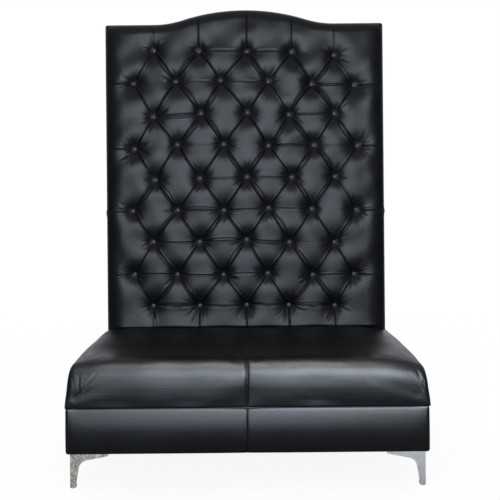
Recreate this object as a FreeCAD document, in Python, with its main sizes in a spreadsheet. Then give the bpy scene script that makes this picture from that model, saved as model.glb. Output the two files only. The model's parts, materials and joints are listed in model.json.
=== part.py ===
# A high-backed banquette covered in leather. The seat is a box of timber rails on four cast metal
# legs, with webbing, foam and a tight leather seat in two halves. The back is a tall timber frame
# with a camelback top. Its front is deep buttoned in diamonds and its edges are padded borders.
# Millimetres. +Z is up, the front faces -Y, and the origin is on the floor under the middle.
import FreeCAD, Part
import math
import os
import Sketcher
from FreeCAD import Rotation, Vector

SIZES = [
    # the whole piece
    ("overall_width", 1220),
    ("overall_depth", 760),
    ("overall_height", 1815),
    ("clearance", 0.3),
    # the camelback: a crown arc, a hollow arc on each side, then level shoulders
    ("crown_rise", 61),
    ("crown_radius", 900),
    ("hollow_radius", 423),
    ("shoulder_radius", 12),
    # cast legs
    ("leg_height", 118),
    ("leg_setin", 14),
    ("leg_wing_length", 128),
    ("leg_wall", 4),
    ("leg_tip_depth", 10),
    ("leg_root_reach", 54),
    ("leg_root_depth", 24),
    ("leg_root_radius", 36),
    ("leg_neck_reach", 27),
    ("leg_neck_depth", 56),
    ("leg_foot_reach", 17.5),
    ("leg_plate_tongue", 22),
    ("leg_foot_thickness", 9),
    ("leg_screw_edge", 15),
    ("leg_screw_far", 92),
    ("leg_screw_inner", 50),
    ("glide_radius", 6.5),
    ("glide_thickness", 2.5),
    ("glide_pin_radius", 2),
    ("glide_pin_length", 5),
    ("screw_shank_radius", 2.2),
    ("screw_head_radius", 4.4),
    ("screw_head_thickness", 2.6),
    ("screw_length", 30),
    # seat box
    ("apron_height", 151),
    ("seat_rail_thickness", 25),
    ("centre_rail_drop", 40),
    ("corner_block_side", 70),
    ("corner_block_height", 45),
    ("webbing_width", 50),
    ("webbing_thickness", 2),
    ("webbing_pitch", 120),
    ("webbing_landing", 18),
    ("deck_cloth_thickness", 1),
    ("dust_cover_thickness", 0.8),
    # covers and padding
    ("leather_thickness", 1.5),
    ("side_padding", 8),
    ("seat_wadding_thickness", 8),
    ("rear_padding", 5),
    ("back_panel_thickness", 3),
    # seat cushion
    ("seat_height", 440),
    ("seat_setin", 1.5),
    ("seat_crown_radius", 3700),
    ("seat_crown_setback", 390),
    ("seat_shoulder_width", 200),
    ("seat_shoulder_drop", 60),
    ("seat_corner_draw", 22),
    ("seat_edge_radius", 68),
    # back frame
    ("back_depth", 160),
    ("foam_thickness", 38),
    ("board_thickness", 12),
    ("post_width", 70),
    ("back_rail_height", 60),
    ("top_rail_height", 75),
    ("bolt_radius", 4),
    ("bolt_head_radius", 7),
    ("bolt_head_thickness", 5.5),
    ("bolt_setback", 16),
    ("bolt_edge", 38),
    ("washer_radius", 9),
    ("washer_thickness", 1.5),
    ("tee_nut_radius", 9.5),
    ("tee_nut_flange", 1.5),
    ("tee_nut_barrel_radius", 5.2),
    ("tee_nut_barrel_length", 9),
    # borders round the back
    ("border_seam_setin", 7),
    ("border_full_setback", 18),
    ("border_rear_setin", 3),
    ("border_join_height", 927),
    ("border_lap_height", 20),
    ("border_lap_proud", 4),
    # deep buttoning
    ("button_side_margin", 120.5),
    ("button_pitch_up", 137.7),
    ("top_row_drop", 133),
    ("end_button_draw", 8.5),
    ("puff_depth", 42),
    ("pleat_depth", 25),
    ("button_seat_depth", 38),
    ("button_radius", 11),
    ("button_face_radius", 7),
    ("button_tip_radius", 0.6),
    ("button_face_lift", 20.5),
    ("button_rim_lift", 16.6),
    ("button_tip_lift", 1.4),
    ("twine_radius", 1.3),
    ("bore_radius", 3.5),
    ("toggle_length", 24),
    ("toggle_thickness", 6),
]

# places that several pieces share, worked out from the sizes above
PLACES = [
    ("side", "Sizes.overall_width / 2"),
    ("front", "-Sizes.overall_depth / 2"),
    ("rear", "Sizes.overall_depth / 2"),
    ("cover_stack", "Sizes.leather_thickness + Sizes.side_padding"),
    ("skin_side", "side - Sizes.leather_thickness"),
    ("skin_front", "front + Sizes.leather_thickness"),
    ("skin_rear", "rear - Sizes.leather_thickness"),
    ("frame_side", "side - cover_stack"),
    ("frame_front", "front + cover_stack"),
    ("panel_rear", "skin_rear - Sizes.rear_padding"),
    ("frame_rear", "panel_rear - Sizes.back_panel_thickness"),
    ("rail_inner_side", "frame_side - Sizes.seat_rail_thickness"),
    ("rail_inner_front", "frame_front + Sizes.seat_rail_thickness"),
    ("rail_inner_rear", "frame_rear - Sizes.seat_rail_thickness"),
    ("box_bottom", "Sizes.leg_height"),
    ("rail_bottom", "box_bottom + Sizes.dust_cover_thickness"),
    ("box_top", "box_bottom + Sizes.apron_height"),
    ("webbing_top", "box_top - Sizes.deck_cloth_thickness"),
    ("webbing_middle", "webbing_top - Sizes.webbing_thickness"),
    ("rail_top", "webbing_middle - Sizes.webbing_thickness"),
    ("back_front", "rear - Sizes.back_depth"),
    ("seam_plane", "back_front + Sizes.puff_depth"),
    ("board_front", "seam_plane + Sizes.foam_thickness"),
    ("board_rear", "board_front + Sizes.board_thickness"),
    ("shoulder", "Sizes.overall_height - Sizes.crown_rise"),
    ("post_inner_side", "frame_side - Sizes.post_width"),
    ("top_rail_bottom", "shoulder - cover_stack - Sizes.top_rail_height"),
    ("top_row", "shoulder - Sizes.top_row_drop"),
    ("button_pitch_across", "(side - Sizes.button_side_margin) / 2.5"),
    ("seat_rear", "back_front - Sizes.clearance"),
    ("crown_centre", "Sizes.overall_height - Sizes.crown_radius"),
    ("hollow_centre", "shoulder + Sizes.hollow_radius"),
    ("centre_gap", "Sizes.crown_radius + Sizes.hollow_radius"),
    ("hollow_centre_side", "sqrt(centre_gap^2 - (hollow_centre - crown_centre)^2)"),
    ("leg_tip", "Sizes.leg_height - Sizes.leg_tip_depth"),
    ("leg_root", "Sizes.leg_height - Sizes.leg_root_depth"),
    ("leg_neck", "Sizes.leg_height - Sizes.leg_neck_depth"),
]


def camelback_places(tag, setin):
    """The corner places of a camelback outline that lies a set-in inside the silhouette."""
    wanted = [
        ("side", f"side - {setin}"),
        ("corner_radius", f"max(Sizes.shoulder_radius - {setin}; Sizes.shoulder_radius / 8)"),
        ("level", f"shoulder - {setin}"),
        ("corner_side", f"{tag}_side - {tag}_corner_radius"),
        ("corner_foot", f"{tag}_level - {tag}_corner_radius"),
        ("crown", f"Sizes.crown_radius - {setin}"),
        ("hollow", f"Sizes.hollow_radius + {setin}"),
        ("bend_side", f"hollow_centre_side * {tag}_crown / centre_gap"),
        ("bend_height", f"crown_centre + (hollow_centre - crown_centre) * {tag}_crown / centre_gap"),
    ]
    return [(f"{tag}_{name}", formula) for name, formula in wanted]


# the outline of the frame and its layers, and that of the outside back's leather
PLACES += camelback_places("inner_crest", "cover_stack")
PLACES += camelback_places("outer_crest", "Sizes.border_rear_setin")

# how far each button wanders from its even place, in hundredths of the pitch across and up
BUTTON_WANDER_SHARES = [
    [(0, 7), (0, 4), (6, 2), (5, -1), (-1, -12)],
    [(0, 3), (-2, 9), (-3, 11), (3, 7), (-1, -3), (-2, -7)],
    [(-2, -2), (3, 8), (6, 9), (-2, 2), (-1, 4)],
    [(1, -3), (0, 10), (3, 10), (2, 4), (3, 4), (4, 2)],
    [(1, -1), (0, 3), (4, 6), (3, 4), (-1, 5)],
    [(-4, 1), (0, 3), (2, 2), (1, 8), (-3, 4), (0, 0)],
    [(-5, 4), (-2, 3), (2, 9), (-3, 0), (-3, -2)],
    [(-1, 2), (-2, 1), (0, -1), (-2, 2), (-2, -4), (-6, -2)],
    [(-6, 3), (-3, 2), (1, 3), (-6, 2), (-4, -1)],
]
HUNDREDTH_SHARE = 0.01

# where the inner control points of a tufted edge stand, as shares of that edge
BUTTON_TO_BUTTON_SHARES = (0.24, 0.76)
BUTTON_TO_BORDER_SHARES = (0.2, 0.93)
THIRD_SHARES = (1 / 3, 2 / 3)

# the sections of the seat's rounded ends, as shares of the shoulder's width, drop and corner draw
SHOULDER_SHARES = [(0, 0, 0), (0.62, 0.2, 0.05), (0.93, 0.5, 0.4), (1, 1, 1)]

# where the flats of a tufted patch meet, as shares of each of its edges
FLAT_SHARES = (0, 0.14, 0.36, 0.64, 0.86, 1)

# few sides where a small round thing repeats many times
BUTTON_SIDES = 8
BORE_SIDES = 6
TWINE_SIDES = 4
BOLT_SIDES = 6

SIDES = (("left", -1), ("right", 1))
UP = Vector(0, 0, 1)
ACROSS = Vector(1, 0, 0)
BACKWARDS = Vector(0, 1, 0)
QUARTER_TURN = 90

doc = FreeCAD.newDocument("Banquette")
sheet = doc.addObject("Spreadsheet::Sheet", "Sizes")
for row, (alias, value) in enumerate(SIZES, start=1):
    sheet.set(f"A{row}", alias)
    sheet.set(f"B{row}", str(value))
    sheet.setAlias(f"B{row}", alias)
doc.recompute()

places = doc.addObject("App::VarSet", "Places")
for name, formula in PLACES:
    places.addProperty("App::PropertyFloat", name)
    places.setExpression(name, formula)
doc.recompute()

size = {alias: float(sheet.get(alias)) for alias, _ in SIZES}
place = {name: getattr(places, name) for name, _ in PLACES}
overrun = place["cover_stack"]
nodes = {}


def keep(obj, label):
    """Names a finished piece; its file is named after it."""
    obj.Label = label
    nodes[label] = obj
    return obj


def box(label, west, east, front, back, bottom, top):
    """A plain rectangular piece between six faces, each given as an expression."""
    obj = doc.addObject("Part::Box", label)
    obj.setExpression("Length", f"({east}) - ({west})")
    obj.setExpression("Width", f"({back}) - ({front})")
    obj.setExpression("Height", f"({top}) - ({bottom})")
    obj.setExpression("Placement.Base.x", west)
    obj.setExpression("Placement.Base.y", front)
    obj.setExpression("Placement.Base.z", bottom)
    return obj


def flanks(sign, inner, outer):
    """The west and east faces of a piece that stands on the left (-1) or right (+1)."""
    if sign > 0:
        return inner, outer
    return f"-({outer})", f"-({inner})"


def feature(name, shape):
    """A piece whose shape is worked out here from the sheet's sizes."""
    obj = doc.addObject("Part::Feature", name)
    obj.Shape = shape
    return obj


def cut(name, base, tool):
    obj = doc.addObject("Part::Cut", name)
    obj.Base = base
    obj.Tool = tool
    return obj


def group(name, members):
    obj = doc.addObject("Part::Compound", name)
    obj.Links = members
    return obj


def ring(centre, radius, sides, axis):
    """The corners of a regular polygon about a centre, square to an axis."""
    turn = Rotation(UP, axis)
    corners = []
    for index in range(sides):
        angle = 2 * math.pi * (index + 0.5) / sides
        corner = Vector(radius * math.cos(angle), radius * math.sin(angle), 0)
        corners.append(centre + turn.multVec(corner))
    return corners


def flat_face(corners):
    return Part.Face(Part.makePolygon(corners + corners[:1]))


def closed_solid(shell):
    solid = Part.makeSolid(shell)
    if solid.Volume < 0:
        solid.reverse()
    return solid


def few_sided(start, axis, stations, sides):
    """A turned piece with flat sides; each station is a distance along the axis and a radius."""
    rings = [ring(start + axis * along, radius, sides, axis) for along, radius in stations]
    faces = [flat_face(rings[0]), flat_face(rings[-1])]
    for lower, upper in zip(rings, rings[1:]):
        for index in range(sides):
            after = (index + 1) % sides
            faces.append(flat_face([lower[index], lower[after], upper[after], upper[index]]))
    return closed_solid(Part.makeShell(faces))


def rod(start, axis, length, radius, sides):
    return few_sided(start, axis, [(0, radius), (length, radius)], sides)


def arc_about(centre, start, end):
    """The short arc from start to end about a centre."""
    middle = (start + end) * 0.5 - centre
    middle.normalize()
    return Part.Arc(start, centre + middle * (start - centre).Length, end)


# Outlines for PartDesign pieces

def sketch_arc(start, end, radius, turn):
    """An arc of a sketch whose centre is left (+1) or right (-1) of the way from start to end."""
    chord = end - start
    left = Vector(-chord.y, chord.x, 0)
    left.normalize()
    reach = math.sqrt(radius**2 - (chord.Length / 2) ** 2)
    centre = (start + end) * 0.5 + left * reach * turn
    ends = (start, end) if turn > 0 else (end, start)
    angles = [math.atan2(point.y - centre.y, point.x - centre.x) for point in ends]
    return Part.ArcOfCircle(Part.Circle(centre, UP, radius), *angles)


def end_at(edge, point):
    """1 where the edge starts at the point, 2 where it ends there."""
    return 1 if edge.StartPoint.distanceToPoint(point) < edge.EndPoint.distanceToPoint(point) else 2


def number_of(formula):
    """The value of a corner's expression: a signed name of a size or place, or zero."""
    if formula == "0":
        return 0.0
    sign = -1 if formula.startswith("-") else 1
    table, name = formula.lstrip("-").split(".")
    return sign * (size if table == "Sizes" else place)[name]


def outline_sketch(body, plane, name, corners, arcs):
    """A closed outline in one of the body's own planes, pinned corner by corner.

    Each corner is two names of sizes or places. Arcs gives, for the edge that leaves a corner,
    the name of its radius and the side of its centre.
    """
    sketch = body.newObject("Sketcher::SketchObject", name)
    support = next(o for o in body.Origin.OriginFeatures if o.Role == plane)
    sketch.AttachmentSupport = (support, [""])
    sketch.MapMode = "FlatFace"
    points = [Vector(number_of(x), number_of(y), 0) for x, y in corners]
    for index, start in enumerate(points):
        end = points[(index + 1) % len(points)]
        if index in arcs:
            radius, turn = arcs[index]
            sketch.addGeometry(sketch_arc(start, end, number_of(radius), turn), False)
        else:
            sketch.addGeometry(Part.LineSegment(start, end), False)
    edges = sketch.Geometry
    for index, point in enumerate(points):
        before = index - 1 if index else len(points) - 1
        here = end_at(edges[index], point)
        sketch.addConstraint(
            Sketcher.Constraint("Coincident", before, end_at(edges[before], point), index, here)
        )
        for kind, formula in zip(("DistanceX", "DistanceY"), corners[index]):
            pin = Sketcher.Constraint(kind, -1, 1, index, here, number_of(formula))
            number = sketch.addConstraint(pin)
            sketch.setExpression(f"Constraints[{number}]", formula)
    for index, (radius, _) in arcs.items():
        number = sketch.addConstraint(Sketcher.Constraint("Radius", index, number_of(radius)))
        sketch.setExpression(f"Constraints[{number}]", radius)
    return sketch


def pad(body, sketch, length, backwards=False):
    """Thickens an outline; backwards means against its plane's own normal."""
    obj = body.newObject("PartDesign::Pad", sketch.Name + "_pad")
    obj.Profile = sketch
    obj.setExpression("Length", length)
    obj.Reversed = backwards
    return obj


# Camelback outlines, used by every flat layer of the back

def camelback_blank(label, tag, front, back, bottom):
    """A flat piece of the back between two planes, with the camelback as its top edge."""
    at = f"Places.{tag}_"
    body = doc.addObject("PartDesign::Body", label + "_body")
    corners = [
        ("-" + at + "side", bottom),
        (at + "side", bottom),
        (at + "side", at + "corner_foot"),
        (at + "corner_side", at + "level"),
        ("Places.hollow_centre_side", at + "level"),
        (at + "bend_side", at + "bend_height"),
        ("-" + at + "bend_side", at + "bend_height"),
        ("-Places.hollow_centre_side", at + "level"),
        ("-" + at + "corner_side", at + "level"),
        ("-" + at + "side", at + "corner_foot"),
    ]
    arcs = {
        2: (at + "corner_radius", 1),
        4: (at + "hollow", -1),
        5: (at + "crown", 1),
        6: (at + "hollow", -1),
        8: (at + "corner_radius", 1),
    }
    sketch = outline_sketch(body, "XZ_Plane", label + "_outline", corners, arcs)
    pad(body, sketch, f"({back}) - ({front})", backwards=True)
    body.setExpression("Placement.Base.y", front)
    return body


def camelback_wire(setin, level, bottom):
    """The same outline as a wire at one depth of the back."""
    side = place["side"] - setin
    radius = max(size["shoulder_radius"] - setin, size["shoulder_radius"] / 8)
    shoulder = place["shoulder"] - setin
    share = (size["crown_radius"] - setin) / place["centre_gap"]
    rise = place["hollow_centre"] - place["crown_centre"]

    def half(sign):
        hollow_side = sign * place["hollow_centre_side"]
        foot = Vector(sign * side, level, bottom)
        corner_foot = Vector(sign * side, level, shoulder - radius)
        corner_top = Vector(sign * (side - radius), level, shoulder)
        hollow_foot = Vector(hollow_side, level, shoulder)
        bend = Vector(hollow_side * share, level, place["crown_centre"] + rise * share)
        corner_centre = Vector(sign * (side - radius), level, shoulder - radius)
        hollow_centre = Vector(hollow_side, level, place["hollow_centre"])
        return [
            Part.LineSegment(foot, corner_foot),
            arc_about(corner_centre, corner_foot, corner_top),
            Part.LineSegment(corner_top, hollow_foot),
            arc_about(hollow_centre, hollow_foot, bend),
        ], foot, bend

    right, right_foot, right_bend = half(1)
    left, left_foot, left_bend = half(-1)
    crown_centre = Vector(0, level, place["crown_centre"])
    crown = arc_about(crown_centre, right_bend, left_bend)
    curves = [Part.LineSegment(left_foot, right_foot)] + right + [crown]
    edges = [curve.toShape() for curve in curves + left[::-1]]
    return Part.Wire(Part.__sortEdges__(edges))


# Legs

LEG_PROFILE = [
    ("0", "Sizes.leg_height"),
    ("Sizes.leg_wing_length", "Sizes.leg_height"),
    ("Sizes.leg_wing_length", "Places.leg_tip"),
    ("Sizes.leg_root_reach", "Places.leg_root"),
    ("Sizes.leg_neck_reach", "Places.leg_neck"),
    ("Sizes.leg_foot_reach", "Sizes.glide_thickness"),
    ("0", "Sizes.glide_thickness"),
]
LEG_PLATE = [
    ("0", "0"),
    ("Sizes.leg_wing_length", "0"),
    ("Sizes.leg_wing_length", "Sizes.leg_plate_tongue"),
    ("Sizes.leg_plate_tongue", "Sizes.leg_wing_length"),
    ("0", "Sizes.leg_wing_length"),
]
LEG_FOOT = [
    ("0", "0"),
    ("Sizes.leg_foot_reach", "0"),
    ("Sizes.leg_foot_reach", "Sizes.leg_foot_reach"),
    ("0", "Sizes.leg_foot_reach"),
]
LEG_CORNERS = [
    ("front_left_leg", -1, -1, 0),
    ("front_right_leg", 1, -1, 1),
    ("rear_right_leg", 1, 1, 2),
    ("rear_left_leg", -1, 1, 3),
]

def leg_body(label, sign_x, sign_y, quarter):
    """One corner leg: two curved wings at a right angle, a top plate and a small solid foot."""
    body = doc.addObject("PartDesign::Body", label + "_casting")
    sweep = {3: ("Sizes.leg_root_radius", 1)}
    wing = outline_sketch(body, "XZ_Plane", label + "_wing", LEG_PROFILE, sweep)
    pad(body, wing, "Sizes.leg_wall", backwards=True)
    side_wing = outline_sketch(body, "YZ_Plane", label + "_side_wing", LEG_PROFILE, sweep)
    pad(body, side_wing, "Sizes.leg_wall")
    plate = outline_sketch(body, "XY_Plane", label + "_plate", LEG_PLATE, {})
    plate.setExpression("AttachmentOffset.Base.z", "Sizes.leg_height")
    pad(body, plate, "Sizes.leg_wall", backwards=True)
    foot = outline_sketch(body, "XY_Plane", label + "_foot", LEG_FOOT, {})
    foot.setExpression("AttachmentOffset.Base.z", "Sizes.glide_thickness")
    pad(body, foot, "Sizes.leg_foot_thickness")
    body.Placement.Rotation = Rotation(UP, QUARTER_TURN * quarter)
    body.setExpression("Placement.Base.x", f"{sign_x} * (Places.side - Sizes.leg_setin)")
    body.setExpression("Placement.Base.y", f"{sign_y} * (Places.rear - Sizes.leg_setin)")
    return body


def leg_point(sign_x, sign_y, inwards_x, inwards_y, height):
    """A point above the floor, counted inwards from the outer corner of a leg."""
    corner_x = place["side"] - size["leg_setin"]
    corner_y = place["rear"] - size["leg_setin"]
    return Vector(sign_x * (corner_x - inwards_x), sign_y * (corner_y - inwards_y), height)


def leg_screw_starts():
    """The places of the screws, at the underside of the leg plates."""
    edge, far, inner = (size["leg_screw_" + name] for name in ("edge", "far", "inner"))
    height = size["leg_height"] - size["leg_wall"]
    for _, sign_x, sign_y, _ in LEG_CORNERS:
        for inwards_x, inwards_y in ((edge, far), (far, edge), (inner, inner)):
            yield leg_point(sign_x, sign_y, inwards_x, inwards_y, height)


def leg_screw(start):
    head = few_sided(
        start,
        UP * -1,
        [(0, size["screw_head_radius"]), (size["screw_head_thickness"], size["screw_shank_radius"])],
        BOLT_SIDES,
    )
    shank = rod(start, UP, size["screw_length"], size["screw_shank_radius"], BOLT_SIDES)
    return head.fuse(shank).removeSplitter()


screw_bore_radius = size["screw_shank_radius"] + size["clearance"]
screw_bore_length = size["screw_length"] + size["clearance"]
leg_screw_bores = feature("leg_screw_bores", Part.makeCompound([
    rod(start, UP, screw_bore_length, screw_bore_radius, BOLT_SIDES)
    for start in leg_screw_starts()
]))
foot_middle = size["leg_foot_reach"] / 2
glide_tops = [
    leg_point(sign_x, sign_y, foot_middle, foot_middle, size["glide_thickness"])
    for _, sign_x, sign_y, _ in LEG_CORNERS
]
glide_bores = feature("glide_bores", Part.makeCompound([
    rod(top, UP, size["glide_pin_length"] + size["clearance"],
        size["glide_pin_radius"] + size["clearance"], BORE_SIDES)
    for top in glide_tops
]))
leg_bores = group("leg_bores", [leg_screw_bores, glide_bores])
for label, sign_x, sign_y, quarter in LEG_CORNERS:
    casting = leg_body(label, sign_x, sign_y, quarter)
    keep(cut(label + "_drilled", casting, leg_bores), label)
keep(feature("screws", Part.makeCompound([leg_screw(s) for s in leg_screw_starts()])), "leg_screws")


def glide(top):
    disc = rod(top, UP * -1, size["glide_thickness"], size["glide_radius"], BUTTON_SIDES)
    pin = rod(top, UP, size["glide_pin_length"], size["glide_pin_radius"], BORE_SIDES)
    return disc.fuse(pin).removeSplitter()


keep(feature("glides", Part.makeCompound([glide(top) for top in glide_tops])), "foot_glides")


# Bolts that hold the back posts to the side rails of the box

def bolt_starts():
    """The places on the inner faces of the posts where the bolts enter, and their directions."""
    depth = place["board_rear"] + size["bolt_setback"]
    low, high = place["rail_bottom"] + size["bolt_edge"], place["rail_top"] - size["bolt_edge"]
    for _, sign in SIDES:
        for level in (low, high):
            yield Vector(sign * place["post_inner_side"], depth, level), ACROSS * sign


def bolt_bore(start, way):
    """A bore through post and rail, opened out for the nut's barrel and its flange."""
    through = place["frame_side"] - place["post_inner_side"]
    flange = through - size["tee_nut_flange"]
    barrel = flange - size["tee_nut_barrel_length"] - size["clearance"]
    bore = None
    for begin, radius in (
        (-overrun, size["bolt_radius"]),
        (barrel, size["tee_nut_barrel_radius"]),
        (flange, size["tee_nut_radius"]),
    ):
        length = through + overrun - begin
        step = rod(start + way * begin, way, length, radius + size["clearance"], BOLT_SIDES)
        bore = bore.fuse(step) if bore else step
    return bore.removeSplitter()


def bolt(start, way):
    under_head = start - way * size["washer_thickness"]
    through = place["frame_side"] - place["post_inner_side"]
    length = through + size["washer_thickness"] - size["clearance"]
    head = rod(under_head, way * -1, size["bolt_head_thickness"], size["bolt_head_radius"],
               BOLT_SIDES)
    shank = rod(under_head, way, length, size["bolt_radius"], BOLT_SIDES)
    return head.fuse(shank).removeSplitter()


def washer(start, way):
    begin = start - way * size["washer_thickness"]
    disc = rod(begin, way, size["washer_thickness"], size["washer_radius"], BOLT_SIDES)
    hole = rod(begin - way * overrun, way, 2 * overrun + size["washer_thickness"],
               size["bolt_radius"] + size["clearance"], BOLT_SIDES)
    return disc.cut(hole)


def tee_nut(start, way):
    through = place["frame_side"] - place["post_inner_side"]
    outer = start + way * through
    flange = rod(outer, way * -1, size["tee_nut_flange"], size["tee_nut_radius"], BOLT_SIDES)
    barrel = rod(outer, way * -1, size["tee_nut_flange"] + size["tee_nut_barrel_length"],
                 size["tee_nut_barrel_radius"], BOLT_SIDES)
    hole = rod(outer + way * overrun, way * -1, through, size["bolt_radius"] + size["clearance"],
               BOLT_SIDES)
    return flange.fuse(barrel).removeSplitter().cut(hole)


bolt_bores = feature("bolt_bores", Part.makeCompound([bolt_bore(*at) for at in bolt_starts()]))
box_bores = group("box_bores", [leg_screw_bores, bolt_bores])
keep(feature("bolts", Part.makeCompound([bolt(*at) for at in bolt_starts()])), "post_bolts")
keep(feature("washers", Part.makeCompound([washer(*at) for at in bolt_starts()])), "bolt_washers")
keep(feature("nuts", Part.makeCompound([tee_nut(*at) for at in bolt_starts()])), "tee_nuts")


# Seat box

def drilled(label, obj):
    """A timber piece of the box with the screw and bolt bores taken out."""
    return keep(cut(label + "_drilled", obj, box_bores), label)


IN_FRAME = ("Places.rail_bottom", "Places.rail_top")
drilled("seat_front_rail", box(
    "front_rail", "-Places.rail_inner_side", "Places.rail_inner_side",
    "Places.frame_front", "Places.rail_inner_front", *IN_FRAME,
))
drilled("seat_rear_rail", box(
    "rear_rail", "-Places.post_inner_side", "Places.post_inner_side",
    "Places.rail_inner_rear", "Places.frame_rear", *IN_FRAME,
))
for side, sign in SIDES:
    west, east = flanks(sign, "Places.rail_inner_side", "Places.frame_side")
    drilled(f"seat_{side}_rail", box(
        f"{side}_rail", west, east, "Places.frame_front", "Places.frame_rear", *IN_FRAME,
    ))
keep(box(
    "centre_rail", "-Sizes.seat_rail_thickness / 2", "Sizes.seat_rail_thickness / 2",
    "Places.rail_inner_front", "Places.rail_inner_rear",
    "Places.rail_bottom", "Places.rail_top - Sizes.centre_rail_drop",
), "seat_centre_rail")


def corner_block(sign, inner_y, way):
    """A triangular block glued into a corner of the box, over a leg."""
    corner = Vector(sign * place["rail_inner_side"], inner_y, place["rail_bottom"])
    leg = size["corner_block_side"]
    ends = [corner, corner - ACROSS * sign * leg, corner + BACKWARDS * way * leg, corner]
    return Part.Face(Part.makePolygon(ends)).extrude(UP * size["corner_block_height"])


corner_block_group = feature("block_group", Part.makeCompound([
    corner_block(sign, inner_y, way)
    for _, sign in SIDES
    for inner_y, way in ((place["rail_inner_front"], 1), (place["board_rear"], -1))
]))
drilled("corner_blocks", corner_block_group)


def straps(name, centres, across):
    """Flat webbing straps, stapled to the tops of the rails; one strap for each centre."""
    half = size["webbing_width"] / 2
    members = []
    for index, centre in enumerate(centres):
        if across:
            strap = box(
                f"{name}_{index}", "Sizes.webbing_landing - Places.frame_side",
                "Places.frame_side - Sizes.webbing_landing", f"{centre - half}",
                f"{centre + half}", "Places.webbing_middle", "Places.webbing_top",
            )
        else:
            strap = box(
                f"{name}_{index}", f"{centre - half}", f"{centre + half}",
                "Places.frame_front + Sizes.webbing_landing / 2",
                "Places.frame_rear - Sizes.webbing_landing / 2",
                "Places.rail_top", "Places.webbing_middle",
            )
        members.append(strap)
    return keep(group(name + "_group", members), name)


def evenly(low, high):
    """Centres of as many straps as fit between two limits at the webbing's pitch."""
    room = high - low - size["webbing_width"]
    count = int(room / size["webbing_pitch"]) + 1
    first = (low + high - (count - 1) * size["webbing_pitch"]) / 2
    return [first + index * size["webbing_pitch"] for index in range(count)]


straps("webbing_lengthwise", evenly(-place["post_inner_side"], place["post_inner_side"]), False)
straps("webbing_crosswise", evenly(place["rail_inner_front"], place["board_rear"]), True)
keep(box(
    "deck_cloth", "-Places.frame_side", "Places.frame_side", "Places.frame_front",
    "Places.board_rear - Sizes.clearance", "Places.webbing_top", "Places.box_top",
), "seat_deck_cloth")
dust_cloth = box(
    "dust_cloth", "-Places.frame_side", "Places.frame_side", "Places.frame_front",
    "Places.frame_rear", "Places.box_bottom", "Places.rail_bottom",
)
drilled("dust_cover", dust_cloth)

# Padding and leather round the box

APRON = ("Places.box_bottom", "Places.box_top")
keep(box(
    "front_padding", "-Places.skin_side", "Places.skin_side", "Places.skin_front",
    "Places.frame_front", *APRON,
), "apron_front_padding")
for side, sign in SIDES:
    west, east = flanks(sign, "Places.frame_side", "Places.skin_side")
    keep(box(
        f"{side}_padding", west, east, "Places.frame_front", "Places.skin_rear", *APRON,
    ), f"apron_{side}_padding")
    west, east = flanks(sign, "Places.skin_side", "Places.side")
    keep(box(
        f"{side}_apron", west, east, "Places.skin_front", "Places.rear", *APRON,
    ), f"apron_{side}_cover")
    west, east = flanks(sign, "0", "Places.side")
    keep(box(
        f"front_{side}_apron", west, east, "Places.front", "Places.skin_front", *APRON,
    ), f"apron_front_cover_{side}")


# Seat: foam block, wadding and the leather, one shape inside the other

def seat_profile(x, front, drop, inset):
    """The outline of the seat at one place across it, with a rolled front edge and a low crown."""
    base, rear = place["box_top"], place["seat_rear"]
    roll = size["seat_edge_radius"] - inset
    crown = size["seat_crown_radius"] - inset - drop
    middle = Vector(
        x, place["front"] + size["seat_crown_setback"], size["seat_height"] - size["seat_crown_radius"]
    )

    def on_crown(y, radius):
        return Vector(x, y, middle.z + math.sqrt(radius**2 - (y - middle.y) ** 2))

    roll_centre = on_crown(front + roll, crown - roll)
    outwards = roll_centre - middle
    outwards.normalize()
    roll_start = Vector(x, front, roll_centre.z)
    roll_end = middle + outwards * crown
    top_end = on_crown(rear, crown)
    foot_front, foot_rear = Vector(x, front, base), Vector(x, rear, base)
    curves = [
        Part.LineSegment(foot_front, roll_start),
        arc_about(roll_centre, roll_start, roll_end),
        arc_about(middle, roll_end, top_end),
        Part.LineSegment(top_end, foot_rear),
        Part.LineSegment(foot_rear, foot_front),
    ]
    return Part.Wire([curve.toShape() for curve in curves])


def seat_form(inset):
    """The tight seat cushion, an inset inside its leather, drawn in towards both ends."""
    side = place["side"] - size["seat_setin"] - inset
    front = place["front"] + size["seat_setin"] + inset
    half = []
    for across, down, back in SHOULDER_SHARES:
        x = side - (size["seat_shoulder_width"] - inset) * (1 - across)
        drop = (size["seat_shoulder_drop"] - inset) * down
        draw = (size["seat_corner_draw"] - inset) * back
        half.append((x, front + draw, drop))
    stations = [(-x, y, drop) for x, y, drop in half[::-1]] + half
    return Part.makeLoft([seat_profile(*station, inset) for station in stations], True, True)


leather = size["leather_thickness"]
seat_skin = seat_form(0)
seat_under_leather = seat_form(leather)
seat_core = seat_form(leather + size["seat_wadding_thickness"])
seat_leather = seat_skin.cut(seat_under_leather)
for side, sign in SIDES:
    corner = Vector(min(0, sign * place["side"]), place["front"], 0)
    half = Part.makeBox(place["side"], size["overall_depth"], size["overall_height"], corner)
    keep(feature(f"{side}_seat_leather", seat_leather.common(half)), f"seat_cover_{side}")
keep(feature("seat_padding", seat_under_leather.cut(seat_core)), "seat_wadding")
keep(feature("seat_block", seat_core), "seat_foam")


# Timber frame of the back

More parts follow.
